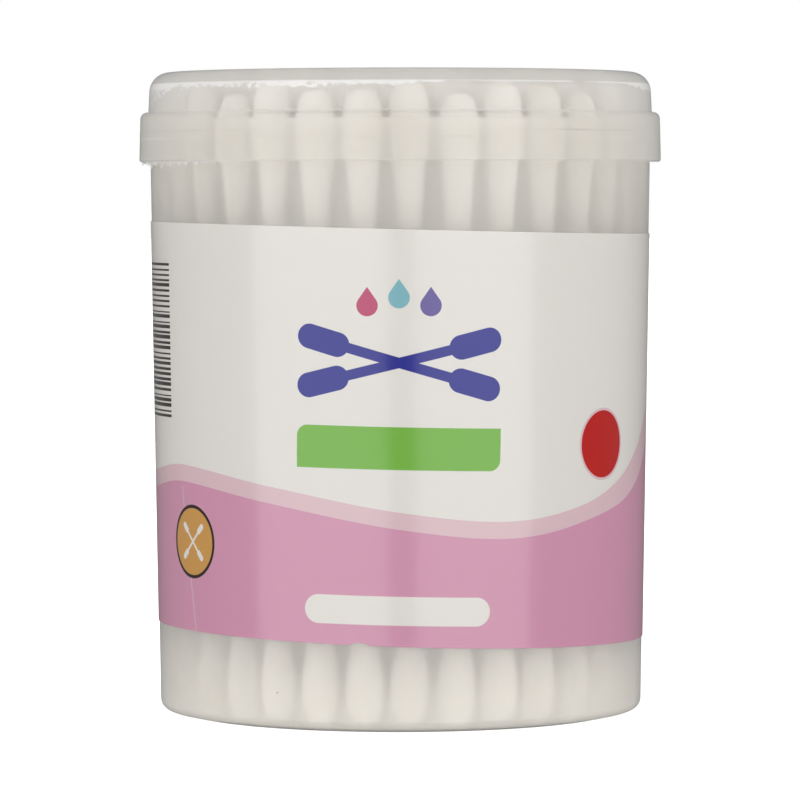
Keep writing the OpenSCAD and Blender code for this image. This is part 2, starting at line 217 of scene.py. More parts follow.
class Graph:
    """A node tree with short calls for the nodes that it holds."""

    def __init__(self, tree: bpy.types.NodeTree) -> None:
        """Takes the tree that the calls add to."""
        self.tree = tree

    def node(self, kind: str, settings: dict | None = None, **inputs: object) -> bpy.types.Node:
        """Adds a node.

        Args:
            kind: The node's type name, without the prefix of a shader node.
            settings: Properties of the node.
            **inputs: Values or sockets by input name, with _ for a space.

        Returns:
            The new node.
        """
        whole = kind.startswith(("Node", "Function", "Geometry"))
        made = self.tree.nodes.new(kind if whole else "ShaderNode" + kind)
        for name, value in (settings or {}).items():
            setattr(made, name, value)
        for name, value in inputs.items():
            self.feed(made.inputs[name.replace("_", " ")], value)
        return made

    def feed(self, socket: bpy.types.NodeSocket, value: object) -> None:
        """Links a socket to an input, or sets the input's own value.

        Args:
            socket: The input.
            value: An output to link, or a value.
        """
        if isinstance(value, bpy.types.NodeSocket):
            self.tree.links.new(value, socket)
        elif isinstance(value, tuple) and len(value) == 3 and socket.type == "RGBA":
            socket.default_value = (*value, 1)
        else:
            socket.default_value = value

    def math(self, operation: str, *values: object) -> bpy.types.NodeSocket:
        """Adds a Math node.

        Args:
            operation: Its operation.
            *values: Numbers or sockets, in order.

        Returns:
            The result.
        """
        made = self.node("Math", {"operation": operation})
        for socket, value in zip(made.inputs, values):
            self.feed(socket, value)
        return made.outputs[0]

    def times(self, first: object, *others: object) -> bpy.types.NodeSocket:
        """Multiplies numbers or sockets.

        Args:
            first: The first number or socket.
            *others: The numbers to multiply it by.

        Returns:
            The product.
        """
        for other in others:
            first = self.math("MULTIPLY", first, other)
        return first

    def ramp(self, value: object, low: object, high: object, to_low: float = 0,
             to_high: float = 1) -> bpy.types.NodeSocket:
        """Adds a smooth Map Range node.

        Args:
            value: The number to map.
            low: Where the ramp starts.
            high: Where it ends.
            to_low: Result at the start.
            to_high: Result at the end.

        Returns:
            The mapped number.
        """
        made = self.node("MapRange", {"interpolation_type": "SMOOTHSTEP"})
        for name, item in (("Value", value), ("From Min", low), ("From Max", high),
                           ("To Min", to_low), ("To Max", to_high)):
            self.feed(made.inputs[name], item)
        return made.outputs["Result"]

    def paint(self, mask: object, under: object, over: object) -> bpy.types.NodeSocket:
        """Lays one colour over another through a mask.

        Args:
            mask: 0 for the lower colour, 1 for the upper one.
            under: The lower colour.
            over: The upper colour.

        Returns:
            The mixed colour.
        """
        made = self.node("Mix", {"data_type": "RGBA", "clamp_factor": True})
        self.feed(made.inputs["Factor"], mask)
        self.feed(made.inputs["A"], under)
        self.feed(made.inputs["B"], over)
        return next(s for s in made.outputs if s.type == "RGBA")

    def blend(self, share: object, first: bpy.types.Node,
              second: bpy.types.Node) -> bpy.types.Node:
        """Adds a Mix Shader node.

        Args:
            share: Share of the second shader, from 0 to 1.
            first: Node of the first shader.
            second: Node of the second shader.

        Returns:
            The mix's node.
        """
        made = self.node("MixShader", Fac=share)
        self.feed(made.inputs[1], first.outputs[0])
        self.feed(made.inputs[2], second.outputs[0])
        return made

    def relief(self, height: object, strength: float, depth: float) -> bpy.types.NodeSocket:
        """Adds a Bump node, with its depth in metres, and returns the normal."""
        return self.node("Bump", Strength=strength, Distance=depth, Height=height).outputs[0]

    def show(self, surface: bpy.types.Node) -> None:
        """Puts a shader on the material's output."""
        self.node("OutputMaterial", Surface=surface.outputs[0])

    def noise(self, scale: float, detail: float = 2, roughness: float = 0.5,
              stretch: Point3 = (1, 1, 1)) -> bpy.types.NodeSocket:
        """Adds a noise pattern on Object coordinates.

        Args:
            scale: Features for each metre.
            detail: Number of finer layers.
            roughness: Strength of the finer layers.
            stretch: Scale along each axis.

        Returns:
            The pattern, from 0 to 1.
        """
        place = self.node("TexCoord").outputs["Object"]
        mapped = self.node("Mapping", Vector=place, Scale=stretch)
        made = self.node("TexNoise", Vector=mapped.outputs[0], Scale=scale, Detail=detail,
                         Roughness=roughness)
        return made.outputs["Fac"]

    def group(self, tree: bpy.types.NodeTree, **inputs: object) -> bpy.types.Node:
        """Places a node group and feeds its inputs by name.

        Args:
            tree: The group's tree.
            **inputs: Values or sockets by input name, with _ for a space.

        Returns:
            The group's node.
        """
        made = self.tree.nodes.new("ShaderNodeGroup")
        made.node_tree = tree
        for name, value in inputs.items():
            self.feed(made.inputs[name.replace("_", " ")], value)
        return made


def new_group(name: str, inputs: dict[str, float], outputs: list[str]) -> tuple[Graph, dict, dict]:
    """Starts a shader node group of plain numbers.

    Args:
        name: Name of the group.
        inputs: Default value of each named input.
        outputs: Names of the outputs.

    Returns:
        The group's graph, its input sockets by name and its output sockets by name.
    """
    tree = bpy.data.node_groups.new(name, "ShaderNodeTree")
    for label, value in inputs.items():
        socket = tree.interface.new_socket(label, in_out="INPUT", socket_type="NodeSocketFloat")
        socket.default_value = value
    for label in outputs:
        tree.interface.new_socket(label, in_out="OUTPUT", socket_type="NodeSocketFloat")
    entry = tree.nodes.new("NodeGroupInput")
    leave = tree.nodes.new("NodeGroupOutput")
    return (Graph(tree), {s.name: s for s in entry.outputs if s.name},
            {s.name: s for s in leave.inputs if s.name})


def new_material(name: str) -> tuple[bpy.types.Material, Graph]:
    """Starts an empty node material.

    Args:
        name: Name of the material.

    Returns:
        The material and its graph.
    """
    material = bpy.data.materials.new(name)
    material.use_nodes = True
    material.node_tree.nodes.clear()
    return material, Graph(material.node_tree)


class Patterns:
    """The node groups that more than one finish uses, each built once.

    Attributes:
        EDGE: Width of a printed edge, in millimetres.
        BUD_LENGTH: Length of a printed swab's bud, as a share of the swab.
        BUD_WIDTH: Width of the bud, as a share of its length.
        STICK_WIDTH: Width of its stick, as a share of the swab.
        SPECK_SCALE: Cells for each metre in which a speck may lie.
        SPECK_SIZE: Where a speck's edge starts and ends, as shares of a cell.
        SPECK_CHANCE: Share of the cells that hold no speck.
    """

    EDGE = 0.06
    BUD_LENGTH = 0.256
    BUD_WIDTH = 0.453
    STICK_WIDTH = 0.048
    SPECK_SCALE = 210.0
    SPECK_SIZE = (0.015, 0.035)
    SPECK_CHANCE = 0.55

    def __init__(self) -> None:
        """Builds the groups."""
        self.bar = self._bar()
        self.swab_mark = self._swab_mark()
        self.drop = self._drop()
        self.handling = self._handling()

    def _bar(self) -> bpy.types.NodeTree:
        """A bar with rounded corners, turned about its middle: 1 inside and 0 outside.

        Returns:
            The group's tree.
        """
        graph, at, out = new_group(
            "rounded_bar", {"X": 0, "Y": 0, "Middle X": 0, "Middle Y": 0, "Width": 10,
                            "Height": 3, "Corner": 1, "Turn": 0}, ["Mask"])
        dx = graph.math("SUBTRACT", at["X"], at["Middle X"])
        dy = graph.math("SUBTRACT", at["Y"], at["Middle Y"])
        cos_turn = graph.math("COSINE", at["Turn"])
        sin_turn = graph.math("SINE", at["Turn"])
        along = graph.math("ADD", graph.times(dx, cos_turn), graph.times(dy, sin_turn))
        across = graph.math("SUBTRACT", graph.times(dy, cos_turn), graph.times(dx, sin_turn))
        past = []
        for place, size in ((along, at["Width"]), (across, at["Height"])):
            flat = graph.math("SUBTRACT", graph.times(size, 0.5), at["Corner"])
            past.append(graph.math("SUBTRACT", graph.math("ABSOLUTE", place), flat))
        outside = [graph.math("MAXIMUM", p, 0) for p in past]
        squares = [graph.times(p, p) for p in outside]
        far = graph.math("SQRT", graph.math("ADD", *squares))
        near = graph.math("MINIMUM", graph.math("MAXIMUM", *past), 0)
        distance = graph.math("SUBTRACT", graph.math("ADD", far, near), at["Corner"])
        graph.feed(out["Mask"], graph.ramp(distance, -self.EDGE / 2, self.EDGE / 2, 1, 0))
        return graph.tree

    def _swab_mark(self) -> bpy.types.NodeTree:
        """A swab in outline: a thin stick with a bud at each end.

        Returns:
            The group's tree.
        """
        graph, at, out = new_group(
            "swab_mark", {"X": 0, "Y": 0, "Middle X": 0, "Middle Y": 0, "Length": 25,
                          "Turn": 0}, ["Mask"])
        bud_len = graph.times(at["Length"], self.BUD_LENGTH)
        bud_wide = graph.times(bud_len, self.BUD_WIDTH)
        reach = graph.times(graph.math("SUBTRACT", at["Length"], bud_len), 0.5)
        stick_wide = graph.times(at["Length"], self.STICK_WIDTH)
        parts = [graph.group(self.bar, X=at["X"], Y=at["Y"], Middle_X=at["Middle X"],
                             Middle_Y=at["Middle Y"], Turn=at["Turn"], Corner=0,
                             Width=graph.math("SUBTRACT", at["Length"], bud_wide),
                             Height=stick_wide).outputs[0]]
        for side in (-1, 1):
            shift = graph.times(reach, side)
            mid_x = graph.math("MULTIPLY_ADD", graph.math("COSINE", at["Turn"]), shift,
                               at["Middle X"])
            mid_y = graph.math("MULTIPLY_ADD", graph.math("SINE", at["Turn"]), shift,
                               at["Middle Y"])
            parts.append(graph.group(self.bar, X=at["X"], Y=at["Y"], Middle_X=mid_x,
                                     Middle_Y=mid_y, Turn=at["Turn"], Width=bud_len,
                                     Height=bud_wide,
                                     Corner=graph.times(bud_wide, 0.499)).outputs[0])
        union = graph.math("MAXIMUM", graph.math("MAXIMUM", parts[0], parts[1]), parts[2])
        graph.feed(out["Mask"], union)
        return graph.tree

    def _drop(self) -> bpy.types.NodeTree:
        """A drop with its point up.

        Returns:
            The group's tree.
        """
        graph, at, out = new_group(
            "drop_mark", {"X": 0, "Y": 0, "Middle X": 0, "Middle Y": 0, "Radius": 1.25,
                          "Slope": 0.61}, ["Mask"])
        dx = graph.math("ABSOLUTE", graph.math("SUBTRACT", at["X"], at["Middle X"]))
        dy = graph.math("SUBTRACT", at["Y"], at["Middle Y"])
        squares = graph.math("ADD", graph.times(dx, dx), graph.times(dy, dy))
        ball = graph.math("SUBTRACT", graph.math("SQRT", squares), at["Radius"])
        sin_slope = graph.math("SINE", at["Slope"])
        side = graph.math("ADD", graph.times(dx, graph.math("COSINE", at["Slope"])),
                          graph.times(dy, sin_slope))
        side = graph.math("SUBTRACT", side, at["Radius"])
        low = graph.math("SUBTRACT", graph.times(at["Radius"], sin_slope), dy)
        point = graph.math("MAXIMUM", side, low)
        distance = graph.math("MINIMUM", ball, point)
        graph.feed(out["Mask"], graph.ramp(distance, -self.EDGE / 2, self.EDGE / 2, 1, 0))
        return graph.tree

    def _handling(self) -> bpy.types.NodeTree:
        """Marks on a surface: a mould's grain, cloudy smears, fine scuffs and stray specks.

        Returns:
            The group's tree.
        """
        graph, at, out = new_group("handling", {"Grain Scale": 900.0, "Smear Scale": 60.0},
                                   ["Grain", "Smear", "Scuff", "Speck"])
        place = graph.node("TexCoord").outputs["Object"]
        grain = graph.node("TexNoise", Vector=place, Scale=at["Grain Scale"], Detail=3.0)
        smear = graph.node("TexNoise", Vector=place, Scale=at["Smear Scale"], Detail=4.0,
                           Roughness=0.6)
        stretched = graph.node("Mapping", Vector=place, Scale=(1, 1, 9), Rotation=(0.5, 0.3, 0))
        scuff = graph.node("TexNoise", Vector=stretched.outputs[0], Scale=420.0, Detail=1.0)
        cells = graph.node("TexVoronoi", Vector=place, Scale=self.SPECK_SCALE, Randomness=1.0)
        chance = graph.node("SeparateColor", Color=cells.outputs["Color"]).outputs[0]
        dot = graph.ramp(cells.outputs["Distance"], *self.SPECK_SIZE, 1, 0)
        graph.feed(out["Grain"], grain.outputs["Fac"])
        graph.feed(out["Smear"], smear.outputs["Fac"])
        graph.feed(out["Scuff"], graph.ramp(scuff.outputs["Fac"], 0.68, 0.74))
        graph.feed(out["Speck"], graph.times(dot, graph.math("GREATER_THAN", chance,
                                                             self.SPECK_CHANCE)))
        return graph.tree


@dataclass(frozen=True)
class LidMarks:
    """Light and shade painted on the lid's corner, and a dark and a light line on its skirt.

    Heights and depths are in millimetres, azimuths in degrees to the right of the front.

    Attributes:
        rim: Height of the upper edge of the painted highlight under the thick corner.
        rim_depth: Depth of the painted highlight, and how much its ragged edge adds at the left.
        ragged: Azimuths between which the ragged edge sets in.
        sides: Azimuths, to either side, between which it ends.
        left_patch: Azimuth from which the painted highlight widens to the left, and how fast.
        right_patch: The same to the right.
        widest: Most depth that the painted highlight may have there.
        solid: Depth of the painted highlight's upper part, which has no gaps.
        bright: Colour of the painted highlight, which the light line takes too.
        crown: Height at which the flat top starts.
        corner_colour: Share of its colour that the thick corner keeps under its painted shade.
        corner_haze: Share of the light that the thick corner scatters.
        lines: Heights of the dark and the light line on the skirt.
        line_width: Width of a line.
        line_sides: Azimuths, to either side, between which the lines set in.
        line_light: Strength of the light line.
    """

    # The rim fields place a painted highlight. The corner fields darken the thick corner with
    # painted shade.
    rim: float = 76.35
    rim_depth: Point2 = (0.16, 0.75)
    ragged: Point2 = (14, -6)
    sides: Point2 = (95, 88)
    left_patch: Point2 = (-56.0, 0.12)
    right_patch: Point2 = (56.0, 0.05)
    widest: float = 3.2
    solid: float = 0.5
    bright: Colour = (0.995, 0.995, 0.99)
    crown: float = 77.7
    corner_colour: float = 0.8
    corner_haze: float = 0.75
    lines: Point2 = (70.65, 69.75)
    line_width: float = 0.22
    line_sides: Point2 = (22, 42)
    line_light: float = 0.4

    def rim_mask(self, graph: Graph, height: bpy.types.NodeSocket,
                 azimuth: bpy.types.NodeSocket) -> bpy.types.NodeSocket:
        """Where the highlight is painted on the rim.

        Args:
            graph: The material's graph.
            height: Height on the lid.
            azimuth: Azimuth on the lid.

        Returns:
            1 where the highlight is painted and 0 elsewhere.
        """
        # Painted highlight: a near-white band under the corner. It is ragged below and widens into
        # mottled patches at the sides.
        rag = graph.ramp(graph.noise(1300, 3, 0.65, (1, 1, 1.5)), 0.35, 0.65)
        spell = graph.ramp(graph.noise(150, 2), 0.42, 0.5)
        shown = graph.ramp(graph.math("ABSOLUTE", azimuth), *self.sides)
        left = graph.times(graph.ramp(azimuth, *self.ragged), shown)
        thin, deep = self.rim_depth
        depth = graph.math("ADD", graph.times(thin, graph.math("MAXIMUM", spell, left)),
                           graph.times(rag, left, deep))
        start, rate = self.left_patch
        patch = graph.times(graph.math("SUBTRACT", start, azimuth), rate)
        start, rate = self.right_patch
        right = graph.times(graph.math("SUBTRACT", azimuth, start), rate)
        patch = graph.math("MAXIMUM", graph.math("MAXIMUM", patch, right), 0.0)
        patch = graph.times(graph.math("MINIMUM", patch, self.widest), shown,
                            graph.math("MULTIPLY_ADD", rag, 0.5, 0.6))
        low = graph.math("SUBTRACT", self.rim, graph.math("MAXIMUM", depth, patch))
        rim = graph.times(graph.ramp(graph.math("SUBTRACT", height, low), 0.0, 0.12),
                          graph.ramp(height, self.rim, self.rim + 0.1, 1, 0))
        under = graph.ramp(graph.math("SUBTRACT", self.rim - self.solid, height), 0.0, 0.5)
        holes = graph.times(under, graph.math("SUBTRACT", 1.0, rag))
        return graph.times(rim, graph.ramp(holes, 0, 1, 1, 0.15))

    def apply(self, graph: Graph, share: bpy.types.NodeSocket, shade: bpy.types.NodeSocket,
              colour: Colour) -> tuple[bpy.types.NodeSocket, bpy.types.NodeSocket]:
        """Paints the highlight and the shade into the cloud of the lid's wall, together with the
        dark and the light line.

        Args:
            graph: The material's graph.
            share: Share of the light that the cloud scatters.
            shade: The cloud's colour.
            colour: The plastic's plain colour.

        Returns:
            The new share and the new colour.
        """
        place = graph.node("SeparateXYZ", Vector=graph.node("TexCoord").outputs["Object"])
        height = graph.times(place.outputs[2], 1 / MM)
        azimuth = graph.math("DEGREES", graph.math("ARCTAN2", place.outputs[0],
                                                   graph.times(place.outputs[1], -1.0)))
        # A dark and a light line on the skirt. They fade in towards the sides and break into
        # patches.
        line_fade = graph.times(
            graph.ramp(graph.math("ABSOLUTE", azimuth), *self.line_sides),
            graph.ramp(graph.noise(90, 2), 0.35, 0.6))
        dark, light = (
            graph.times(graph.ramp(graph.math("ABSOLUTE", graph.math("SUBTRACT", height, line)),
                                   self.line_width / 4, self.line_width, 1, 0), line_fade)
            for line in self.lines)
        # Painted shade on the thick corner, fading out on the flat top.
        corner = graph.times(graph.ramp(height, self.rim, self.rim + 0.15),
                             graph.ramp(height, self.crown, self.crown + 0.15, 1, 0.2))
        painted_shade_and_dark_line = graph.math("MAXIMUM", corner, dark)
        # Painted highlight on the rim, joined by the light line. Both take the near-white colour
        # and the full cloud.
        bright = graph.math("MAXIMUM", self.rim_mask(graph, height, azimuth),
                            graph.times(light, self.line_light))
        shade = graph.paint(painted_shade_and_dark_line, shade, dimmed(colour, self.corner_colour))
        shade = graph.paint(bright, shade, self.bright)
        share = graph.math("MAXIMUM", share, graph.times(painted_shade_and_dark_line, self.corner_haze))
        return graph.math("MAXIMUM", share, bright), shade


@dataclass(frozen=True)
class MilkyPlastic:
    """Natural polypropylene: a cloudy wall that light passes through.

    A ray is scattered once, where it enters the wall, and leaves the wall unbent. What the
    cotton has scattered passes the clear share of the wall straight.

    Attributes:
        name: Name of the material.
        colour: Colour of the cloud in the wall.
        haze: Share of the light that the cloud scatters, seen straight on.
        blur: Roughness that softens what is seen through the wall.
        gloss: Roughness of the skin.
        scuffing: How much rougher the skin is where it is scuffed.
        clear: Share of the light that passes the wall straight.
        tint: Colour of what is seen through the wall.
        bend: How strongly the blurred light bends, as an index of refraction.
        skin_bend: Index of refraction that sets how much the skin mirrors.
        slant: Share of the light that the cloud scatters along a long way through the wall.
        slanting: Slants of the wall between which the way through it grows long.
        loss: Share of the light that a long way through the wall takes.
        smear: Share of the light that a smear takes.
        unevenness: How much the cloud's share rises and falls with the smears.
        relief: Strength and depth of the skin's relief.
        speck: Colour of the stray specks.
        lid_marks: The lid's painted highlight and shade and its two lines, or None on the tub.
    """

    name: str
    colour: Colour
    haze: float
    blur: float
    gloss: float = 0.3
    scuffing: float = 0.15
    clear: Colour = (0.97, 0.97, 0.96)
    tint: Colour = (0.985, 0.975, 0.955)
    bend: float = 1.25
    skin_bend: float = 1.45
    slant: float = 0.85
    slanting: Point2 = (0.15, 0.75)
    loss: float = 0.18
    smear: float = 0.03
    unevenness: float = 0.04
    relief: Point2 = (0.25, 0.02 * MM)
    speck: Colour = (0.3, 0.26, 0.2)
    lid_marks: LidMarks | None = None

    def cloud(self, graph: Graph,
              marks: bpy.types.Node) -> tuple[bpy.types.NodeSocket, bpy.types.NodeSocket]:
        """The cloud in the wall.

        Args:
            graph: The material's graph.
            marks: The node of the handling marks.

        Returns:
            The share of the light that the cloud scatters, and its colour.
        """
        way = graph.ramp(graph.node("LayerWeight", Blend=0.5).outputs["Facing"], *self.slanting)
        smear = marks.outputs["Smear"]
        share = graph.math("MULTIPLY_ADD", way, self.slant - self.haze, self.haze)
        share = graph.math("ADD", share, graph.ramp(smear, 0.3, 0.7, -self.unevenness,
                                                    self.unevenness))
        shade = graph.paint(smear, self.colour, dimmed(self.colour, 1 - self.smear))
        shade = graph.paint(way, shade, dimmed(self.colour, 1 - self.loss))
        shade = graph.paint(marks.outputs["Speck"], shade, self.speck)
        # On the lid, a highlight and a shade are painted into the cloud.
        if self.lid_marks:
            share, shade = self.lid_marks.apply(graph, share, shade, self.colour)
        return share, shade

    def build(self, patterns: Patterns) -> bpy.types.Material:
        """Builds the material.

        Args:
            patterns: The shared node groups.

        Returns:
            The material.
        """
        material, graph = new_material(self.name)
        marks = graph.group(patterns.handling, Grain_Scale=700.0, Smear_Scale=70.0)
        share, shade = self.cloud(graph, marks)
        bump = graph.relief(graph.math("MULTIPLY_ADD", marks.outputs["Smear"], 3.0,
                                       marks.outputs["Grain"]), *self.relief)
        path = graph.node("LightPath")
        body = graph.blend(0.5, graph.node("BsdfDiffuse", Color=shade, Normal=bump),
                           graph.node("BsdfTranslucent", Color=shade, Normal=bump))
        glass = graph.node("BsdfRefraction", Color=self.tint, Roughness=self.blur,
                           IOR=self.bend, Normal=bump)
        straight = graph.node("BsdfTransparent", Color=self.clear)
        pane = graph.blend(path.outputs["Is Diffuse Ray"], glass, straight)
        rough = graph.ramp(marks.outputs["Scuff"], 0, 1, self.gloss, self.gloss + self.scuffing)
        shine = graph.node("BsdfGlossy", Color=WHITE, Roughness=rough, Normal=bump)
        skin = graph.blend(graph.node("Fresnel", IOR=self.skin_bend).outputs[0],
                           graph.blend(share, pane, body), shine)
        lit = graph.blend(path.outputs["Is Shadow Ray"], skin, straight)
        way_out = graph.node("BsdfTransparent", Color=WHITE)
        graph.show(graph.blend(graph.node("NewGeometry").outputs["Backfacing"], lit, way_out))
        return material


@dataclass(frozen=True)
class Cotton:
    """Wound cotton fibre, soft and white.

    Attributes:
        name: Name of the material.
        colour: Colour of the fibre.
        shade: Painted shade in the hollows between the windings.
        softness: Share of the light that the fibre lets through.
        windings: Windings for each metre.
        fibres: Fibres for each metre.
        lumps: Lumps for each metre.
        relief: Strength and depth of the relief.
        sheen: Weight and roughness of the sheen.
    """

    name: str = "wound_cotton"
    colour: Colour = (0.965, 0.96, 0.94)
    # Painted shade for the hollows between the windings.
    shade: Colour = (0.955, 0.915, 0.85)
    softness: float = 0.12
    windings: float = 260
    fibres: float = 1500
    lumps: float = 180
    relief: Point2 = (0.45, 0.12 * MM)
    sheen: Point2 = (0.15, 0.5)

    def build(self) -> bpy.types.Material:
        """Builds the material: windings round the bud, fine fibres and a soft sheen.

        Returns:
            The material.
        """
        material, graph = new_material(self.name)
        windings = graph.noise(self.windings, 4, 0.65, (1, 1, 5))
        fibres = graph.noise(self.fibres, 3, 0.7, (1, 1, 3))
        height = graph.math("ADD", graph.times(windings, 0.6), graph.times(fibres, 0.4))
        # Painted shade: the hollows of the windings and fibres take the darker, warmer shade
        # colour. The lumps vary the tone at random.
        hollow_shade_and_tone = graph.math("MULTIPLY_ADD", graph.noise(self.lumps, 2), 0.5, height)
        colour = graph.paint(graph.ramp(hollow_shade_and_tone, 0.45, 1.0), self.shade, self.colour)
        bump = graph.relief(height, *self.relief)
        cloth = graph.node("BsdfPrincipled", Base_Color=colour, Roughness=0.95, Normal=bump,
                           Specular_IOR_Level=0.1, Sheen_Weight=self.sheen[0],
                           Sheen_Roughness=self.sheen[1])
        glow = graph.node("BsdfTranslucent", Color=colour, Normal=bump)
        graph.show(graph.blend(self.softness, cloth, glow))
        return material


@dataclass(frozen=True)
class StickPlastic:
    """Extruded white plastic of the sticks, with fine draw lines along them.

    Attributes:
        name: Name of the material.
        colour: Colour of the plastic.
        smear: Share of the light that a smear takes.
        lines: Draw lines for each metre round the stick.
        relief: Strength and depth of the draw lines.
        gloss: Least and most roughness.
    """

    name: str = "drawn_stick"
    colour: Colour = (0.95, 0.9, 0.81)
    smear: float = 0.05
    lines: float = 2600
    relief: Point2 = (0.3, 0.02 * MM)
    gloss: Point2 = (0.38, 0.5)

    def build(self, patterns: Patterns) -> bpy.types.Material:
        """Builds the material.

        Args:
            patterns: The shared node groups.

        Returns:
            The material.
        """
        material, graph = new_material(self.name)
        marks = graph.group(patterns.handling, Grain_Scale=1500.0, Smear_Scale=120.0)
        colour = graph.paint(marks.outputs["Smear"], self.colour,
                             dimmed(self.colour, 1 - self.smear))
        bump = graph.relief(graph.noise(self.lines, 1, 0.5, (1, 1, 0.02)), *self.relief)
        rough = graph.ramp(marks.outputs["Grain"], 0.3, 0.7, *self.gloss)
        graph.show(graph.node("BsdfPrincipled", Base_Color=colour, Roughness=rough, Normal=bump))
        return material


@dataclass(frozen=True)
class Wall:
    """The tub's leaning wall, which the bead, the label and the swabs all follow.

    Attributes:
        foot_r: Outer radius of the wall, carried down to the ground.
        lean: How far the wall leans outwards, in degrees.
    """

    foot_r: float = 29.3 * MM
    lean: float = 0.94

    def radius(self, height: float) -> float:
        """Outer radius of the wall at a height."""
        return self.foot_r + height * math.tan(math.radians(self.lean))


@dataclass
class Tub:
    """The moulded tub, one shell with a snap bead under its rim.

    Attributes:
        wall: Outer face of its wall.
        height: Height of the rim.
        thickness: Thickness of the wall.
        floor: Height of the floor's upper face.
        corner: Radius of the corner between the wall and the underside.
        floor_corner: Radius of the fillet between the floor and the wall.
        foot_inset: How far the foot ring lies inside the wall's foot.
        foot_rise: Rise of the underside from the foot ring to the wall, in degrees.
        foot_width: Width of the foot ring.
        hollow: Depth of the hollow inside the foot ring.
        gate_r: Radius of the gate mark under the floor.
        gate_depth: Depth of the gate mark.
        rows: Lowest and highest row of vertices on the plain wall.
        row_count: Number of those rows.
        bead_drop: Distance from the rim down to the middle of the bead.
        bead_height: Height of the bead.
        bead_out: How far the bead stands out.
        segments: Number of steps round the axis.
    """

    wall: Wall
    height: float = 72.05 * MM
    thickness: float = 0.8 * MM
    floor: float = 1.0 * MM
    corner: float = 1.2 * MM
    floor_corner: float = 1.0 * MM
    foot_inset: float = 3.0 * MM
    foot_rise: float = 12
    foot_width: float = 3.5 * MM
    hollow: float = 0.35 * MM
    gate_r: float = 2.0 * MM
    gate_depth: float = 0.25 * MM
    rows: Point2 = (4 * MM, 68 * MM)
    row_count: int = 12
    bead_drop: float = 1.9 * MM
    bead_height: float = 1.0 * MM
    bead_out: float = 0.4 * MM
    segments: int = 256

    @property
    def bead_z(self) -> float:
        """Height of the middle of the bead."""
        return self.height - self.bead_drop

    def outline(self) -> list[Point2]:
        """Half section of the shell.

        Returns:
            Its points, from the axis under the floor to the axis on the floor.
        """
        lean = self.wall.lean
        floor_r = self.wall.radius(self.floor) - self.thickness
        inner = self.floor_corner
        foot = self.wall.foot_r - self.foot_inset
        rim_r = self.wall.radius(self.height)
        rim = self.thickness / 4
        bead = [(self.wall.radius(self.bead_z + self.bead_height / 2 * math.sin(a))
                 + self.bead_out * math.cos(a),
                 self.bead_z + self.bead_height / 2 * math.sin(a))
                for a in np.radians(np.linspace(-90, 90, 17))]
        gate_z = self.hollow + self.gate_depth
        heights = np.linspace(*self.rows, self.row_count)
        walls = [(self.wall.radius(z), z) for z in heights]
        lining = [(self.wall.radius(z) - self.thickness, z) for z in reversed(heights)]
        return [(0, gate_z), (self.gate_r, gate_z), (self.gate_r, self.hollow),
                (foot - self.foot_width - self.hollow, self.hollow), (foot - self.foot_width, 0),
                (foot, 0), *arc(corner_centre(self.wall.foot_r, foot, self.corner, lean,
                                              self.foot_rise),
                                self.corner, self.foot_rise - 90, -lean, 12),
                *walls, *bead,
                *arc((rim_r - rim, self.height - rim), rim, 0, 90, 5),
                *arc((rim_r - self.thickness + rim, self.height - rim), rim, 90, 180, 5),
                *lining,
                *arc((fillet_centre(floor_r, inner, lean), self.floor + inner), inner, -lean,
                     -90, 12),
                (0, self.floor)]

    def build(self, material: bpy.types.Material) -> None:
        """Turns the shell and dresses it."""
        piece = lathe("tub_shell", self.outline(), self.segments)
        finish_piece(piece, material, Body.TUB, ["tub"])


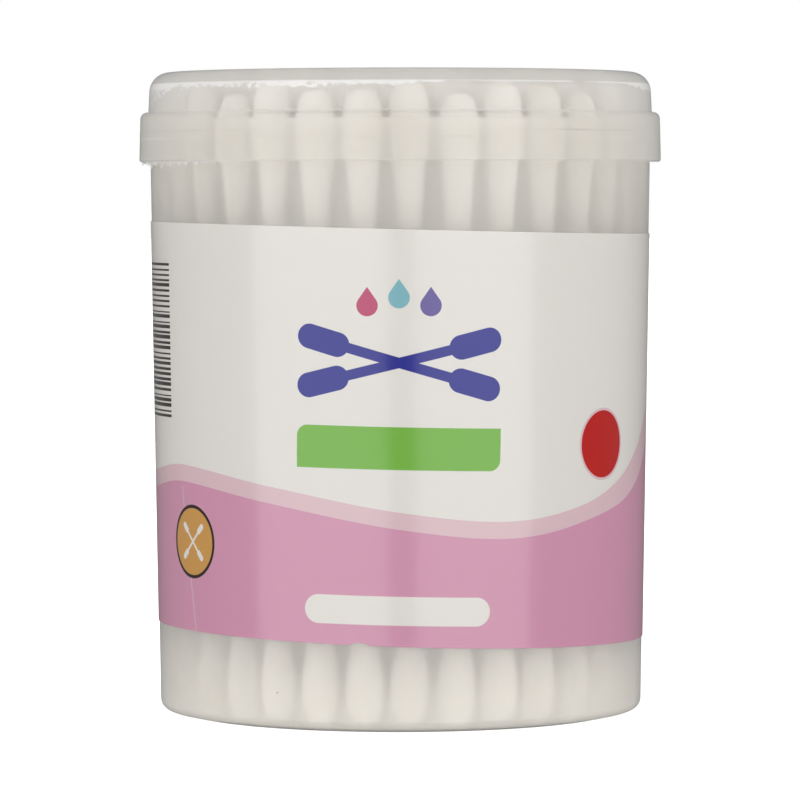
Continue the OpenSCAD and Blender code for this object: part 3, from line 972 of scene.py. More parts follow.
@dataclass
class Lid:
    """The lift-off lid: a skirt, a ledge over the rim and a raised dome.

    Attributes:
        tub: The tub that it fits.
        clearance: Gap between the bead and the skirt.
        seat_gap: Gap between the rim and the ledge.
        skirt: Thickness of the skirt.
        skirt_height: Height of the skirt, with the ledge.
        skirt_lean: Lean of the skirt's outside, in degrees.
        shoulder: Radius of the rounded edge over the skirt.
        ledge: Thickness of the ledge.
        ledge_width: Distance from the skirt's outside to the dome.
        dome_height: Height of the dome over the ledge.
        dome_wall: Thickness of the dome.
        dome_corner: Outer radius of the dome's corner.
        dome_lean: Lean of the dome's side, in degrees.
        gate_r: Radius of the gate mark on the top.
        gate_depth: Depth of the gate mark.
        segments: Number of steps round the axis.
    """

    tub: Tub
    clearance: float = 0.1 * MM
    seat_gap: float = 0.05 * MM
    skirt: float = 0.8 * MM
    skirt_height: float = 6.0 * MM
    skirt_lean: float = 1.4
    shoulder: float = 0.8 * MM
    ledge: float = 0.9 * MM
    ledge_width: float = 1.1 * MM
    dome_height: float = 4.855 * MM
    dome_wall: float = 0.85 * MM
    dome_corner: float = 2.4 * MM
    dome_lean: float = 3.0
    gate_r: float = 2.0 * MM
    gate_depth: float = 0.25 * MM
    segments: int = 256

    @property
    def skirt_in(self) -> float:
        """Inner radius of the skirt."""
        return self.tub.wall.radius(self.tub.bead_z) + self.tub.bead_out + self.clearance

    @property
    def ledge_top(self) -> float:
        """Height of the ledge's upper face."""
        return self.tub.height + self.seat_gap + self.ledge

    def outline(self) -> list[Point2]:
        """Half section of the shell.

        Returns:
            Its points, from the axis inside the dome to the axis on its top.
        """
        out = self.skirt_in + self.skirt
        foot = self.ledge_top - self.skirt_height
        under = self.ledge_top - self.ledge
        lead = self.skirt / 4
        top = self.ledge_top + self.dome_height
        shoulder_r = out - (self.skirt_height - self.shoulder) * math.tan(
            math.radians(self.skirt_lean))
        dome_r = out - self.ledge_width
        top_r = dome_r - (self.dome_height - self.dome_corner) * math.tan(
            math.radians(self.dome_lean))
        centre = (top_r - self.dome_corner, top - self.dome_corner)
        inner = self.dome_corner - self.dome_wall
        return [(0, top - self.dome_wall), *arc(centre, inner, 90, self.dome_lean, 14),
                (dome_r - self.dome_wall, under), (self.skirt_in - lead, under),
                (self.skirt_in, under - lead), (self.skirt_in, foot + 2 * lead),
                (self.skirt_in + lead, foot), (out - lead, foot), (out, foot + lead),
                *arc((shoulder_r - self.shoulder, self.ledge_top - self.shoulder),
                     self.shoulder, 0, 90, 10),
                (dome_r, self.ledge_top), *arc(centre, self.dome_corner, self.dome_lean, 90, 16),
                (self.gate_r, top), (self.gate_r, top - self.gate_depth),
                (0, top - self.gate_depth)]

    def build(self, material: bpy.types.Material) -> None:
        """Turns the shell and dresses it."""
        piece = lathe("lid_shell", self.outline(), self.segments)
        finish_piece(piece, material, Body.LID, ["lid"])


@dataclass
class Flash:
    """The ragged fin that the mould left under the lid's skirt.

    Attributes:
        lid: The lid that it hangs from.
        start: Azimuth where it starts, in degrees to the right of the front.
        end: Azimuth where it ends.
        lean: Power that moves its deepest part towards the start.
        reach: Its most depth.
        thickness: Thickness of the fin.
        root: How far it reaches up into the skirt.
        rag_scale: Noise steps for each degree, of the coarse and of the fine rag.
        fine_rag: Weight of the fine rag.
        plain: Share of the reach that the fin has where the rag is nil.
        least: Least share of the reach.
        steps: Number of steps from start to end.
    """

    lid: Lid
    start: float = -93
    end: float = -33
    lean: float = 0.7
    reach: float = 0.85 * MM
    thickness: float = 0.06 * MM
    root: float = 0.1 * MM
    rag_scale: Point2 = (0.45, 1.7)
    fine_rag: float = 0.7
    plain: float = 0.3
    least: float = 0.05
    steps: int = 220

    def depth(self, azimuth: float) -> float:
        """How far the fin hangs below the skirt.

        Args:
            azimuth: Azimuth in degrees.

        Returns:
            The depth.
        """
        along = (azimuth - self.start) / (self.end - self.start)
        coarse, fine = self.rag_scale
        rag = (noise.noise(Vector((azimuth * coarse, 3.0, 0)))
               + self.fine_rag * noise.noise(Vector((azimuth * fine, 8.0, 0))))
        swell = math.sin(math.pi * along ** self.lean)
        return self.reach * swell * min(1.0, max(self.least, self.plain + rag))

    def build(self, material: bpy.types.Material) -> None:
        """Makes the fin and dresses it.

        Args:
            material: The torn plastic.
        """
        inner = self.lid.skirt_in + self.lid.skirt / 2
        top = self.lid.ledge_top - self.lid.skirt_height + self.root
        points, faces = [], []
        for azimuth in np.linspace(self.start, self.end, self.steps + 1):
            turn = math.radians(azimuth)
            low = top - self.root - self.depth(azimuth)
            for r, z in ((inner, low), (inner + self.thickness, low),
                         (inner + self.thickness, top), (inner, top)):
                points.append((r * math.sin(turn), -r * math.cos(turn), z))
        for i in range(self.steps):
            for j in range(4):
                k = (j + 1) % 4
                faces.append((4 * i + j, 4 * i + 4 + j, 4 * i + 4 + k, 4 * i + k))
        last = 4 * self.steps
        faces += [(0, 1, 2, 3), (last + 3, last + 2, last + 1, last)]
        piece = mesh_object("lid_flash", points, faces)
        finish_piece(piece, material, Body.LID, [])


@dataclass(frozen=True)
class Softbox:
    """An upright area lamp that faces the object.

    Attributes:
        name: Name of the lamp.
        azimuth: Its direction from the front, in degrees to the right.
        spread: Half of the angle that it fills, in degrees.
        low: Height of its lower edge.
        high: Height of its upper edge.
        radiance: Brightness of its face, where 1 is white.
        distance: Distance from the axis.
        gloss_only: Whether it shows in reflections and lights nothing else.
    """

    name: str
    azimuth: float
    spread: float
    low: float
    high: float
    radiance: float
    distance: float = 0.6
    gloss_only: bool = False

    def build(self) -> None:
        """Adds the lamp to the scene."""
        lamp = bpy.data.lights.new(self.name, "AREA")
        lamp.shape = "RECTANGLE"
        lamp.size = 2 * self.distance * math.tan(math.radians(self.spread))
        lamp.size_y = self.high - self.low
        lamp.energy = self.radiance * math.pi * lamp.size * lamp.size_y
        turn = math.radians(self.azimuth)
        level = self.distance * Vector((math.sin(turn), -math.cos(turn), 0))
        box = bpy.data.objects.new(self.name, lamp)
        box.location = level + Vector((0, 0, (self.low + self.high) / 2))
        box.rotation_euler = level.to_track_quat("Z", "Y").to_euler()
        box.visible_camera = False
        box.visible_glossy = self.gloss_only
        box.visible_diffuse = not self.gloss_only
        box.visible_transmission = not self.gloss_only
        bpy.context.scene.collection.objects.link(box)


@dataclass(frozen=True)
class Studio:
    """The camera, the floor, the surround and the lamps.

    Attributes:
        lens: Focal length in millimetres, on a sensor 36 mm wide.
        camera_at: Where the camera stands.
        pitch: How far it looks down, in radians.
        roll: How far it leans, in radians.
        floor_reach: Radius of the floor.
        floor_sides: Number of its sides.
        floor_tones: Darkest and lightest grey of the floor.
        floor_glow: Light that the floor adds where the camera sees it.
        surround: Strength of the surround as a light, and as the camera sees it.
        mirror_loss: How much weaker the surround is in reflections.
        softboxes: The lamps.
    """

    lens: float = 233.13
    camera_at: Point3 = (-0.056 * MM, -632.37 * MM, 63.765 * MM)
    pitch: float = 0.0408
    roll: float = 0.0013
    floor_reach: float = 6.0
    floor_sides: int = 24
    floor_tones: Point2 = (0.86, 0.88)
    floor_glow: float = 0.75
    surround: Point2 = (0.88, 1.0)
    mirror_loss: float = 0.68
    softboxes: tuple[Softbox, ...] = (
        Softbox("left_softbox", -50, 34, 0.0, 0.75, 0.3),
        Softbox("right_softbox", 50, 34, 0.0, 0.75, 0.35),
        Softbox("back_softbox", 180, 30, 0.05, 0.8, 0.3, distance=0.8),
        Softbox("left_sheen", -37.5, 31.5, -0.35, 0.6, 1.9, gloss_only=True),
        Softbox("right_sheen", 34, 28, -0.35, 0.6, 1.9, gloss_only=True))

    @staticmethod
    def in_view(graph: Graph, path: bpy.types.Node) -> bpy.types.NodeSocket:
        """1 for what the camera sees, straight or through the plastic, and 0 for the rest."""
        return graph.math("MAXIMUM", path.outputs["Is Camera Ray"],
                          path.outputs["Is Transmission Ray"])

    def camera(self) -> None:
        """Sets the camera at the photograph's angle."""
        lens = bpy.data.cameras.new("camera")
        lens.lens = self.lens
        lens.sensor_width = 36
        lens.clip_start = 0.05
        lens.clip_end = 50
        camera = bpy.data.objects.new("camera", lens)
        turn = Matrix.Rotation(math.pi / 2 - self.pitch, 4, "X") @ Matrix.Rotation(
            -self.roll, 4, "Z")
        camera.matrix_world = Matrix.Translation(Vector(self.camera_at)) @ turn
        bpy.context.scene.collection.objects.link(camera)
        bpy.context.scene.camera = camera

    def world(self) -> None:
        """Sets a soft pale surround, which the camera sees as white."""
        world = bpy.data.worlds.new("surround")
        world.use_nodes = True
        world.node_tree.nodes.clear()
        graph = Graph(world.node_tree)
        path = graph.node("LightPath")
        strength = graph.math(
            "SUBTRACT", graph.ramp(self.in_view(graph, path), 0, 1, *self.surround),
            graph.times(path.outputs["Is Glossy Ray"], self.mirror_loss))
        surround = graph.node("Background", Color=WHITE, Strength=strength)
        graph.node("OutputWorld", Surface=surround.outputs[0])
        bpy.context.scene.world = world

    def floor(self) -> None:
        """Adds a wide pale floor that keeps the object's shadow."""
        turns = [2 * math.pi * j / self.floor_sides for j in range(self.floor_sides)]
        points = [(0, 0, 0)] + [(self.floor_reach * math.cos(a), self.floor_reach * math.sin(a), 0)
                                for a in turns]
        faces = [(0, 1 + j, 1 + (j + 1) % self.floor_sides) for j in range(self.floor_sides)]
        floor = mesh_object("floor", points, faces)
        material, graph = new_material("pale_floor")
        path = graph.node("LightPath")
        dark, light = self.floor_tones
        colour = graph.paint(graph.noise(300, 3), dimmed(WHITE, dark), dimmed(WHITE, light))
        matt = graph.node("BsdfDiffuse", Color=colour)
        glow = graph.node("Emission", Color=WHITE, Strength=self.floor_glow)
        lifted = graph.node("AddShader")
        graph.feed(lifted.inputs[0], matt.outputs[0])
        graph.feed(lifted.inputs[1], glow.outputs[0])
        plain = graph.blend(self.in_view(graph, path), matt, lifted)
        clear = graph.node("BsdfTransparent", Color=WHITE)
        graph.show(graph.blend(path.outputs["Is Glossy Ray"], plain, clear))
        floor.data.materials.append(material)

    def build(self) -> None:
        """Sets the camera, the floor, the surround and the lamps."""
        bpy.context.scene.view_settings.view_transform = "Standard"
        self.camera()
        self.floor()
        self.world()
        for softbox in self.softboxes:
            softbox.build()


@dataclass
class Label:
    """The printed strip, rolled once round the tub, with its end lapped over its start.

    Places on it are azimuths in degrees to the right of the front and heights over its
    lower edge.

    Attributes:
        wall: The wall that it is glued to.
        foot: Height of its lower edge at the front.
        height: Height of the strip at the front.
        thickness: Thickness of the film.
        glue: Thickness of the glue.
        foot_tilt: How far the lower edge falls to the right, in degrees.
        top_tilt: The same for the upper edge.
        print_tilt: The same for the print.
        lap: Width of the lap at the back.
        lap_rise: Degrees over which the end of the strip climbs onto its start.
        columns: Number of steps round the strip.
        rows: Number of steps up the strip.
        map_span: Degrees that the UV map's width stands for.
        map_margin: Height that the map keeps free under and over the strip.
        ribbon: Width of the pale ribbon along the wave.
        ribbon_flare: How much wider the ribbon is at the right.
        flare: Azimuths where the ribbon starts to widen and where it is widest.
        nick: Azimuth, half width in degrees and depth in millimetres of the lower edge's nick.
        wave: Azimuths and heights of the wave's crest, in percent of the strip's height.
    """

    wall: Wall
    foot: float = 10.293 * MM
    height: float = 48.75 * MM
    thickness: float = 0.1 * MM
    glue: float = 0.02 * MM
    foot_tilt: float = 1.9
    top_tilt: float = 1.5
    print_tilt: float = 1.3
    lap: float = 6.0 * MM
    lap_rise: float = 2.0
    columns: int = 720
    rows: int = 30
    map_span: float = 380.0
    map_margin: float = 2.0 * MM
    ribbon: float = 2.0 * MM
    ribbon_flare: float = 2.6 * MM
    flare: Point2 = (45, 82)
    nick: Point3 = (-9.4, 1.9, 0.3)
    wave: tuple[Point2, ...] = (
        (-180, 49.2), (-140, 40.2), (-105, 38.6), (-80, 40.2), (-60, 42.3), (-30, 37.9),
        (0, 32.2), (25, 29.7), (45, 32.6), (60, 38.2), (72, 46.4), (82, 55.8), (100, 67.7),
        (125, 71.8), (155, 61.5))

    @property
    def mid_r(self) -> float:
        """Outer radius of the strip at half its height."""
        return self.wall.radius(self.foot + self.height / 2) + self.glue + self.thickness

    @property
    def half_lap(self) -> float:
        """Half of the lap's width, in degrees."""
        return math.degrees(self.lap / self.mid_r) / 2

    def wave_height(self, azimuth: float) -> float:
        """Height of the wave's crest line.

        Args:
            azimuth: Azimuth in degrees.

        Returns:
            The height over the label's foot.
        """
        keys = self.wave
        count = len(keys)

        def key(i: int) -> Point2:
            """Key i of the endless wave."""
            turn, index = divmod(i, count)
            return keys[index][0] + 360 * turn, keys[index][1]

        def slope(i: int) -> float:
            """Slope at key i, from its neighbours."""
            before, after = key(i - 1), key(i + 1)
            return (after[1] - before[1]) / (after[0] - before[0])

        a = wrapped(azimuth)
        i = max(j for j in range(count) if keys[j][0] <= a)
        start, end = key(i), key(i + 1)
        width = end[0] - start[0]
        u = (a - start[0]) / width
        percent = (start[1] * (2 * u ** 3 - 3 * u ** 2 + 1)
                   + width * slope(i) * (u ** 3 - 2 * u ** 2 + u)
                   + end[1] * (3 * u ** 2 - 2 * u ** 3)
                   + width * slope(i + 1) * (u ** 3 - u ** 2))
        return percent * self.height / 100

    def ribbon_width(self, azimuth: float) -> float:
        """Width of the pale ribbon along the wave.

        Args:
            azimuth: Azimuth in degrees.

        Returns:
            The width.
        """
        start, widest = self.flare
        rise = progress(wrapped(azimuth), start, widest)
        fall = progress(wrapped(azimuth), 180, widest)
        swell = math.sin(math.pi / 2 * rise) ** 2 * math.sin(math.pi / 2 * fall) ** 2
        return self.ribbon + self.ribbon_flare * swell

    def edges(self, azimuth: float) -> Point2:
        """Heights of the slanting edges.

        Args:
            azimuth: Azimuth in degrees.

        Returns:
            The heights of the lower and of the upper edge.
        """
        side = self.mid_r * math.sin(math.radians(azimuth))
        at, wide, tall = self.nick
        nick = tall * MM * math.exp(-((azimuth - at) / wide) ** 4)
        low = self.foot - side * math.tan(math.radians(self.foot_tilt)) + nick
        high = self.foot + self.height - side * math.tan(math.radians(self.top_tilt))
        return low, high

    def lift(self, azimuth: float) -> float:
        """How far the end of the strip is raised where it lies on its start.

        Args:
            azimuth: Azimuth in degrees.

        Returns:
            The rise off the wall.
        """
        start = 180 - self.half_lap
        u = progress(azimuth, start - self.lap_rise, start)
        return (self.thickness + self.glue) * u * u * (3 - 2 * u)

    def faces(self) -> list[tuple[int, ...]]:
        """Faces of the closed strip: its two sides, its long edges and its ends.

        Returns:
            The vertex numbers of each face.
        """
        tall = self.rows + 1
        inner = (self.columns + 1) * tall

        def number(i: int, j: int, face: int) -> int:
            """Vertex in column i and row j of the outer (0) or inner (1) face."""
            return face * inner + i * tall + j

        faces = []
        last, end = self.rows, self.columns
        for i in range(self.columns):
            for j in range(self.rows):
                faces.append((number(i, j, 0), number(i + 1, j, 0), number(i + 1, j + 1, 0),
                              number(i, j + 1, 0)))
                faces.append((number(i, j, 1), number(i, j + 1, 1), number(i + 1, j + 1, 1),
                              number(i + 1, j, 1)))
            faces.append((number(i, 0, 0), number(i, 0, 1), number(i + 1, 0, 1),
                          number(i + 1, 0, 0)))
            faces.append((number(i, last, 0), number(i + 1, last, 0), number(i + 1, last, 1),
                          number(i, last, 1)))
        for j in range(self.rows):
            faces.append((number(0, j, 0), number(0, j + 1, 0), number(0, j + 1, 1),
                          number(0, j, 1)))
            faces.append((number(end, j, 0), number(end, j, 1), number(end, j + 1, 1),
                          number(end, j + 1, 0)))
        return faces

    def strip(self) -> bpy.types.Object:
        """Makes the closed strip with its UV map and the print's height fields.

        Returns:
            The strip.
        """
        azimuths = np.linspace(-180 - self.half_lap, 180 + self.half_lap, self.columns + 1)
        points, flat = [], []
        fields: dict[str, list[float]] = {"over_wave": [], "over_ribbon": [], "front": []}
        for outer in (True, False):
            for a in azimuths:
                low, high = self.edges(a)
                crest = self.foot + self.wave_height(a)
                off = self.glue + self.lift(a) + (self.thickness if outer else 0)
                turn = math.radians(a)
                for share in np.linspace(0, 1, self.rows + 1):
                    z = low + (high - low) * share
                    r = self.wall.radius(z) + off
                    points.append((r * math.sin(turn), -r * math.cos(turn), z))
                    flat.append(((a + self.map_span / 2) / self.map_span,
                                 (z - self.foot + self.map_margin)
                                 / (self.height + 2 * self.map_margin)))
                    fields["over_wave"].append((z - crest) / MM)
                    fields["over_ribbon"].append((z - crest + self.ribbon_width(a)) / MM)
                    fields["front"].append(float(outer))
        piece = mesh_object("label_wrap", points, self.faces())
        mesh = piece.data
        for name, values in fields.items():
            layer = mesh.attributes.new(name, "FLOAT", "POINT")
            layer.data.foreach_set("value", np.array(values, np.float32))
        uv = mesh.uv_layers.new(name="flat")
        corners = np.zeros(len(mesh.loops), np.int32)
        mesh.loops.foreach_get("vertex_index", corners)
        uv.data.foreach_set("uv", np.array(flat, np.float32)[corners].ravel())
        return piece

    def build(self, film: bpy.types.Material, nodes: list[str]) -> None:
        """Makes the strip and puts it in place of its CAD nodes."""
        finish_piece(self.strip(), film, Body.TUB, nodes)


class Sheet:
    """A label's flat map in a material's graph, and the masks of the marks on it.

    Places are azimuths in degrees and heights in millimetres over the label's foot. Sizes
    are in millimetres, and turns are in degrees from the print's own tilt.

    Attributes:
        SHY: How far a round end's radius stays under half the mark's height.
    """

    SHY = 0.01

    def __init__(self, graph: Graph, label: Label, patterns: Patterns) -> None:
        """Reads the label's map.

        Args:
            graph: The material's graph.
            label: The strip that carries the print.
            patterns: The shared node groups.
        """
        self.graph = graph
        self.patterns = patterns
        self.tilt = label.print_tilt
        self.mm_per_degree = label.mid_r / MM * math.pi / 180
        uv = graph.node("UVMap", {"uv_map": "flat"}).outputs[0]
        split = graph.node("SeparateXYZ", Vector=uv)
        span, margin = label.map_span, label.map_margin / MM
        self.across = graph.times(
            graph.math("MULTIPLY_ADD", split.outputs[0], span, -span / 2), self.mm_per_degree)
        self.up = graph.math("MULTIPLY_ADD", split.outputs[1], label.height / MM + 2 * margin,
                             -margin)

    def mark(self, pattern: bpy.types.NodeTree, azimuth: float, height: float,
             **sizes: float) -> bpy.types.NodeSocket:
        """Mask of a shared pattern.

        Args:
            pattern: The pattern's node group.
            azimuth: Azimuth of its middle.
            height: Height of its middle.
            **sizes: The pattern's own inputs.

        Returns:
            1 inside and 0 outside.
        """
        return self.graph.group(pattern, X=self.across, Y=self.up,
                                Middle_X=azimuth * self.mm_per_degree, Middle_Y=height,
                                **sizes).outputs[0]

    def bar(self, azimuth: float, height: float, wide: float, tall: float, corner: float = 0.0,
            turn: float = 0.0) -> bpy.types.NodeSocket:
        """Mask of a bar with rounded corners."""
        return self.mark(self.patterns.bar, azimuth, height, Width=wide, Height=tall,
                         Corner=corner, Turn=math.radians(turn - self.tilt))

    def pill(self, azimuth: float, height: float, wide: float,
             tall: float | None = None) -> bpy.types.NodeSocket:
        """Mask of a bar with round ends, or of a disc where only one size is given."""
        tall = tall or wide
        return self.bar(azimuth, height, wide, tall, tall / 2 - self.SHY)

    def swab(self, azimuth: float, height: float, length: float,
             turn: float) -> bpy.types.NodeSocket:
        """Mask of a swab in outline."""
        return self.mark(self.patterns.swab_mark, azimuth, height, Length=length,
                         Turn=math.radians(turn - self.tilt))


@dataclass(frozen=True)
class PrintedFilm:
    """White film, printed and laminated.

    Places, sizes and turns are given as on the sheet.

    Attributes:
        white: Colour of the film.
        pink: Ink under the wave.
        pale: Ink of the ribbon along the wave and of the disc's rim.
        green: Ink of the banner.
        red: Ink of the disc.
        orange: Ink of the badge.
        dark: Ink of the badge's rim and of the bars.
        blue: Ink of the sign.
        drops: Inks of the three drops, from the left.
        banner: Place, width and height of the green banner.
        banner_corner: Radius of the banner's two rounded corners.
        pill: Place, width and height of the white pill.
        disc: Place and size of the red disc.
        disc_rim: How much wider the pale disc under it is.
        badge: Place and size of the round badge, with its rim.
        badge_rim: How much smaller its orange field is.
        badge_swabs: Length of its white swabs.
        badge_turns: Turns of its white swabs.
        sign: Place of the crossed blue swabs, their length and their turn.
        drop_pitch: Distance from drop to drop.
        drop_rise: Height of the middle drop over the sign.
        drop_sag: How much lower the outer drops are.
        bars: Azimuth of the bars' right ends, height of the lowest bar, height of the block
            and length of a bar.
        bar_count: Number of bars.
        bar_share: Least share of its step that a bar fills, and how much more it may fill.
        bar_edge: Share of its step over which a bar fades out.
        crease: Place, length and turn of the crease, which shows as a painted highlight.
        crease_line: Width of the crease and radius of its ends.
        crease_share: How strongly the painted highlight along the crease shows.
        thinness: Share of the light that the film lets through.
        gloss: Least and most roughness of the film.
        laminate: Roughness and index of refraction of the laminate.
        relief: Strength and depth of the film's relief.
        billows: Weight of the film's slow waves in the relief.
    """

    white: Colour = (0.89, 0.865, 0.82)
    pink: Colour = (0.735, 0.355, 0.51)
    pale: Colour = (0.82, 0.6, 0.65)
    green: Colour = (0.2, 0.53, 0.05)
    red: Colour = (0.6, 0.004, 0.002)
    orange: Colour = (0.7, 0.37, 0.09)
    dark: Colour = (0.035, 0.018, 0.014)
    blue: Colour = (0.008, 0.012, 0.31)
    drops: tuple[Colour, ...] = ((0.58, 0.06, 0.18), (0.25, 0.55, 0.62), (0.14, 0.10, 0.38))
    banner: Point4 = (-0.45, 23.2, 24.5, 5.0)
    banner_corner: float = 1.3
    pill: Point4 = (-0.8, 4.2, 22.4, 3.4)
    disc: Point3 = (53.2, 23.15, 8.0)
    disc_rim: float = 0.6
    badge: Point3 = (-56.2, 11.5, 8.8)
    badge_rim: float = 0.8
    badge_swabs: float = 6.0
    badge_turns: Point2 = (45, 135)
    sign: Point4 = (-0.3, 33.2, 25.0, 15.0)
    drop_pitch: float = 3.7
    drop_rise: float = 7.6
    drop_sag: float = 0.925
    bars: Point4 = (-66.0, 26.1, 18.8, 15.0)
    bar_count: int = 30
    bar_share: Point2 = (0.22, 0.5)
    bar_edge: float = 0.08
    crease: Point4 = (-58.0, 9.3, 17.8, -79.5)
    crease_line: Point2 = (0.16, 0.07)
    crease_share: float = 0.45
    thinness: float = 0.22
    gloss: Point2 = (0.3, 0.36)
    laminate: Point2 = (0.16, 1.5)
    relief: Point2 = (0.35, 0.03 * MM)
    billows: float = 70.0

    def banner_mask(self, sheet: Sheet) -> bpy.types.NodeSocket:
        """Mask of the banner, which is square at its lower left and its upper right.

        Args:
            sheet: The label's map.

        Returns:
            1 inside and 0 outside.
        """
        at, height, wide, tall = self.banner
        mask = sheet.bar(at, height, wide, tall, self.banner_corner)
        fall = wide / 4 * math.tan(math.radians(sheet.tilt))
        for side in (-1, 1):
            mid = at + side * (wide / 4) / sheet.mm_per_degree
            square = sheet.bar(mid, height + side * (tall / 4 - fall), wide / 2, tall / 2)
            mask = sheet.graph.math("MAXIMUM", mask, square)
        return mask

    def bars_mask(self, sheet: Sheet) -> bpy.types.NodeSocket:
        """Mask of a block of level bars, whose widths are drawn at random.

        Args:
            sheet: The label's map.

        Returns:
            1 on a bar and 0 beside it.
        """
        graph = sheet.graph
        at, height, tall, long = self.bars
        step = graph.times(graph.math("SUBTRACT", sheet.up, height), self.bar_count / tall)
        index = graph.math("FLOOR", step)
        width = graph.node("TexWhiteNoise", {"noise_dimensions": "1D"}, W=index).outputs["Value"]
        least, more = self.bar_share
        stripe = graph.ramp(graph.math("SUBTRACT", step, index),
                            graph.math("MULTIPLY_ADD", width, more, least),
                            graph.math("MULTIPLY_ADD", width, more, least + self.bar_edge), 1, 0)
        block = sheet.bar(at - long / 2 / sheet.mm_per_degree, height + tall / 2, long, tall,
                          turn=sheet.tilt)
        return graph.times(stripe, block)

    def inks(self, sheet: Sheet) -> Iterator[tuple[bpy.types.NodeSocket, Colour]]:
        """Mask and colour of each field of ink in the order of printing, and of the painted
        highlight along the crease.

        Args:
            sheet: The label's map.

        Yields:
            The mask and the colour.
        """
        graph, edge = sheet.graph, Patterns.EDGE / 2
        for name, ink in (("over_wave", self.pale), ("over_ribbon", self.pink)):
            above = graph.node("Attribute", {"attribute_name": name}).outputs["Fac"]
            yield graph.ramp(above, -edge, edge, 1, 0), ink
        yield self.banner_mask(sheet), self.green
        yield sheet.pill(*self.pill), self.white
        at, height, size = self.disc
        yield sheet.pill(at, height, size + self.disc_rim), self.pale
        yield sheet.pill(at, height, size), self.red
        # The crease is not printed. It is a painted highlight: a faint white line laid over the
        # print.
        at, height, long, turn = self.crease
        line = sheet.bar(at, height, long, *self.crease_line, turn)
        yield graph.times(line, self.crease_share), self.white
        at, height, size = self.badge
        yield sheet.pill(at, height, size), self.dark
        yield sheet.pill(at, height, size - self.badge_rim), self.orange
        for turn in self.badge_turns:
            yield sheet.swab(at, height, self.badge_swabs, turn), self.white
        at, height, size, turn = self.sign
        for angle in (turn, -turn):
            yield sheet.swab(at, height, size, angle), self.blue
        pitch = self.drop_pitch / sheet.mm_per_degree
        for side, ink in zip((-1, 0, 1), self.drops):
            yield sheet.mark(sheet.patterns.drop, at + side * pitch,
                             height + self.drop_rise - abs(side) * self.drop_sag), ink
        yield self.bars_mask(sheet), self.dark

    def build(self, label: Label, patterns: Patterns) -> bpy.types.Material:
        """Builds the printed film for a label.

        Args:
            label: The strip that carries the print.
            patterns: The shared node groups.

        Returns:
            The material.
        """
        material, graph = new_material("printed_film")
        colour: object = self.white
        for mask, ink in self.inks(Sheet(graph, label, patterns)):
            colour = graph.paint(mask, colour, ink)
        front = graph.node("Attribute", {"attribute_name": "front"}).outputs["Fac"]
        colour = graph.paint(graph.ramp(front, 0.4, 0.6), self.white, colour)
        marks = graph.group(patterns.handling, Grain_Scale=500.0, Smear_Scale=45.0)
        rough = graph.ramp(marks.outputs["Smear"], 0.3, 0.7, *self.gloss)
        height = graph.math("MULTIPLY_ADD", marks.outputs["Smear"], 6.0, marks.outputs["Grain"])
        height = graph.math("MULTIPLY_ADD", graph.noise(17, 1, 0.5, (1, 1, 0.7)), self.billows,
                            height)
        bump = graph.relief(height, *self.relief)
        film = graph.node("BsdfPrincipled", Base_Color=colour, Roughness=rough, Normal=bump,
                          Specular_IOR_Level=0.25, Coat_Weight=1.0,
                          Coat_Roughness=self.laminate[0], Coat_IOR=self.laminate[1],
                          Coat_Normal=bump)
        glow = graph.node("BsdfTranslucent", Color=colour, Normal=bump)
        graph.show(graph.blend(self.thinness, film, glow))
        return material


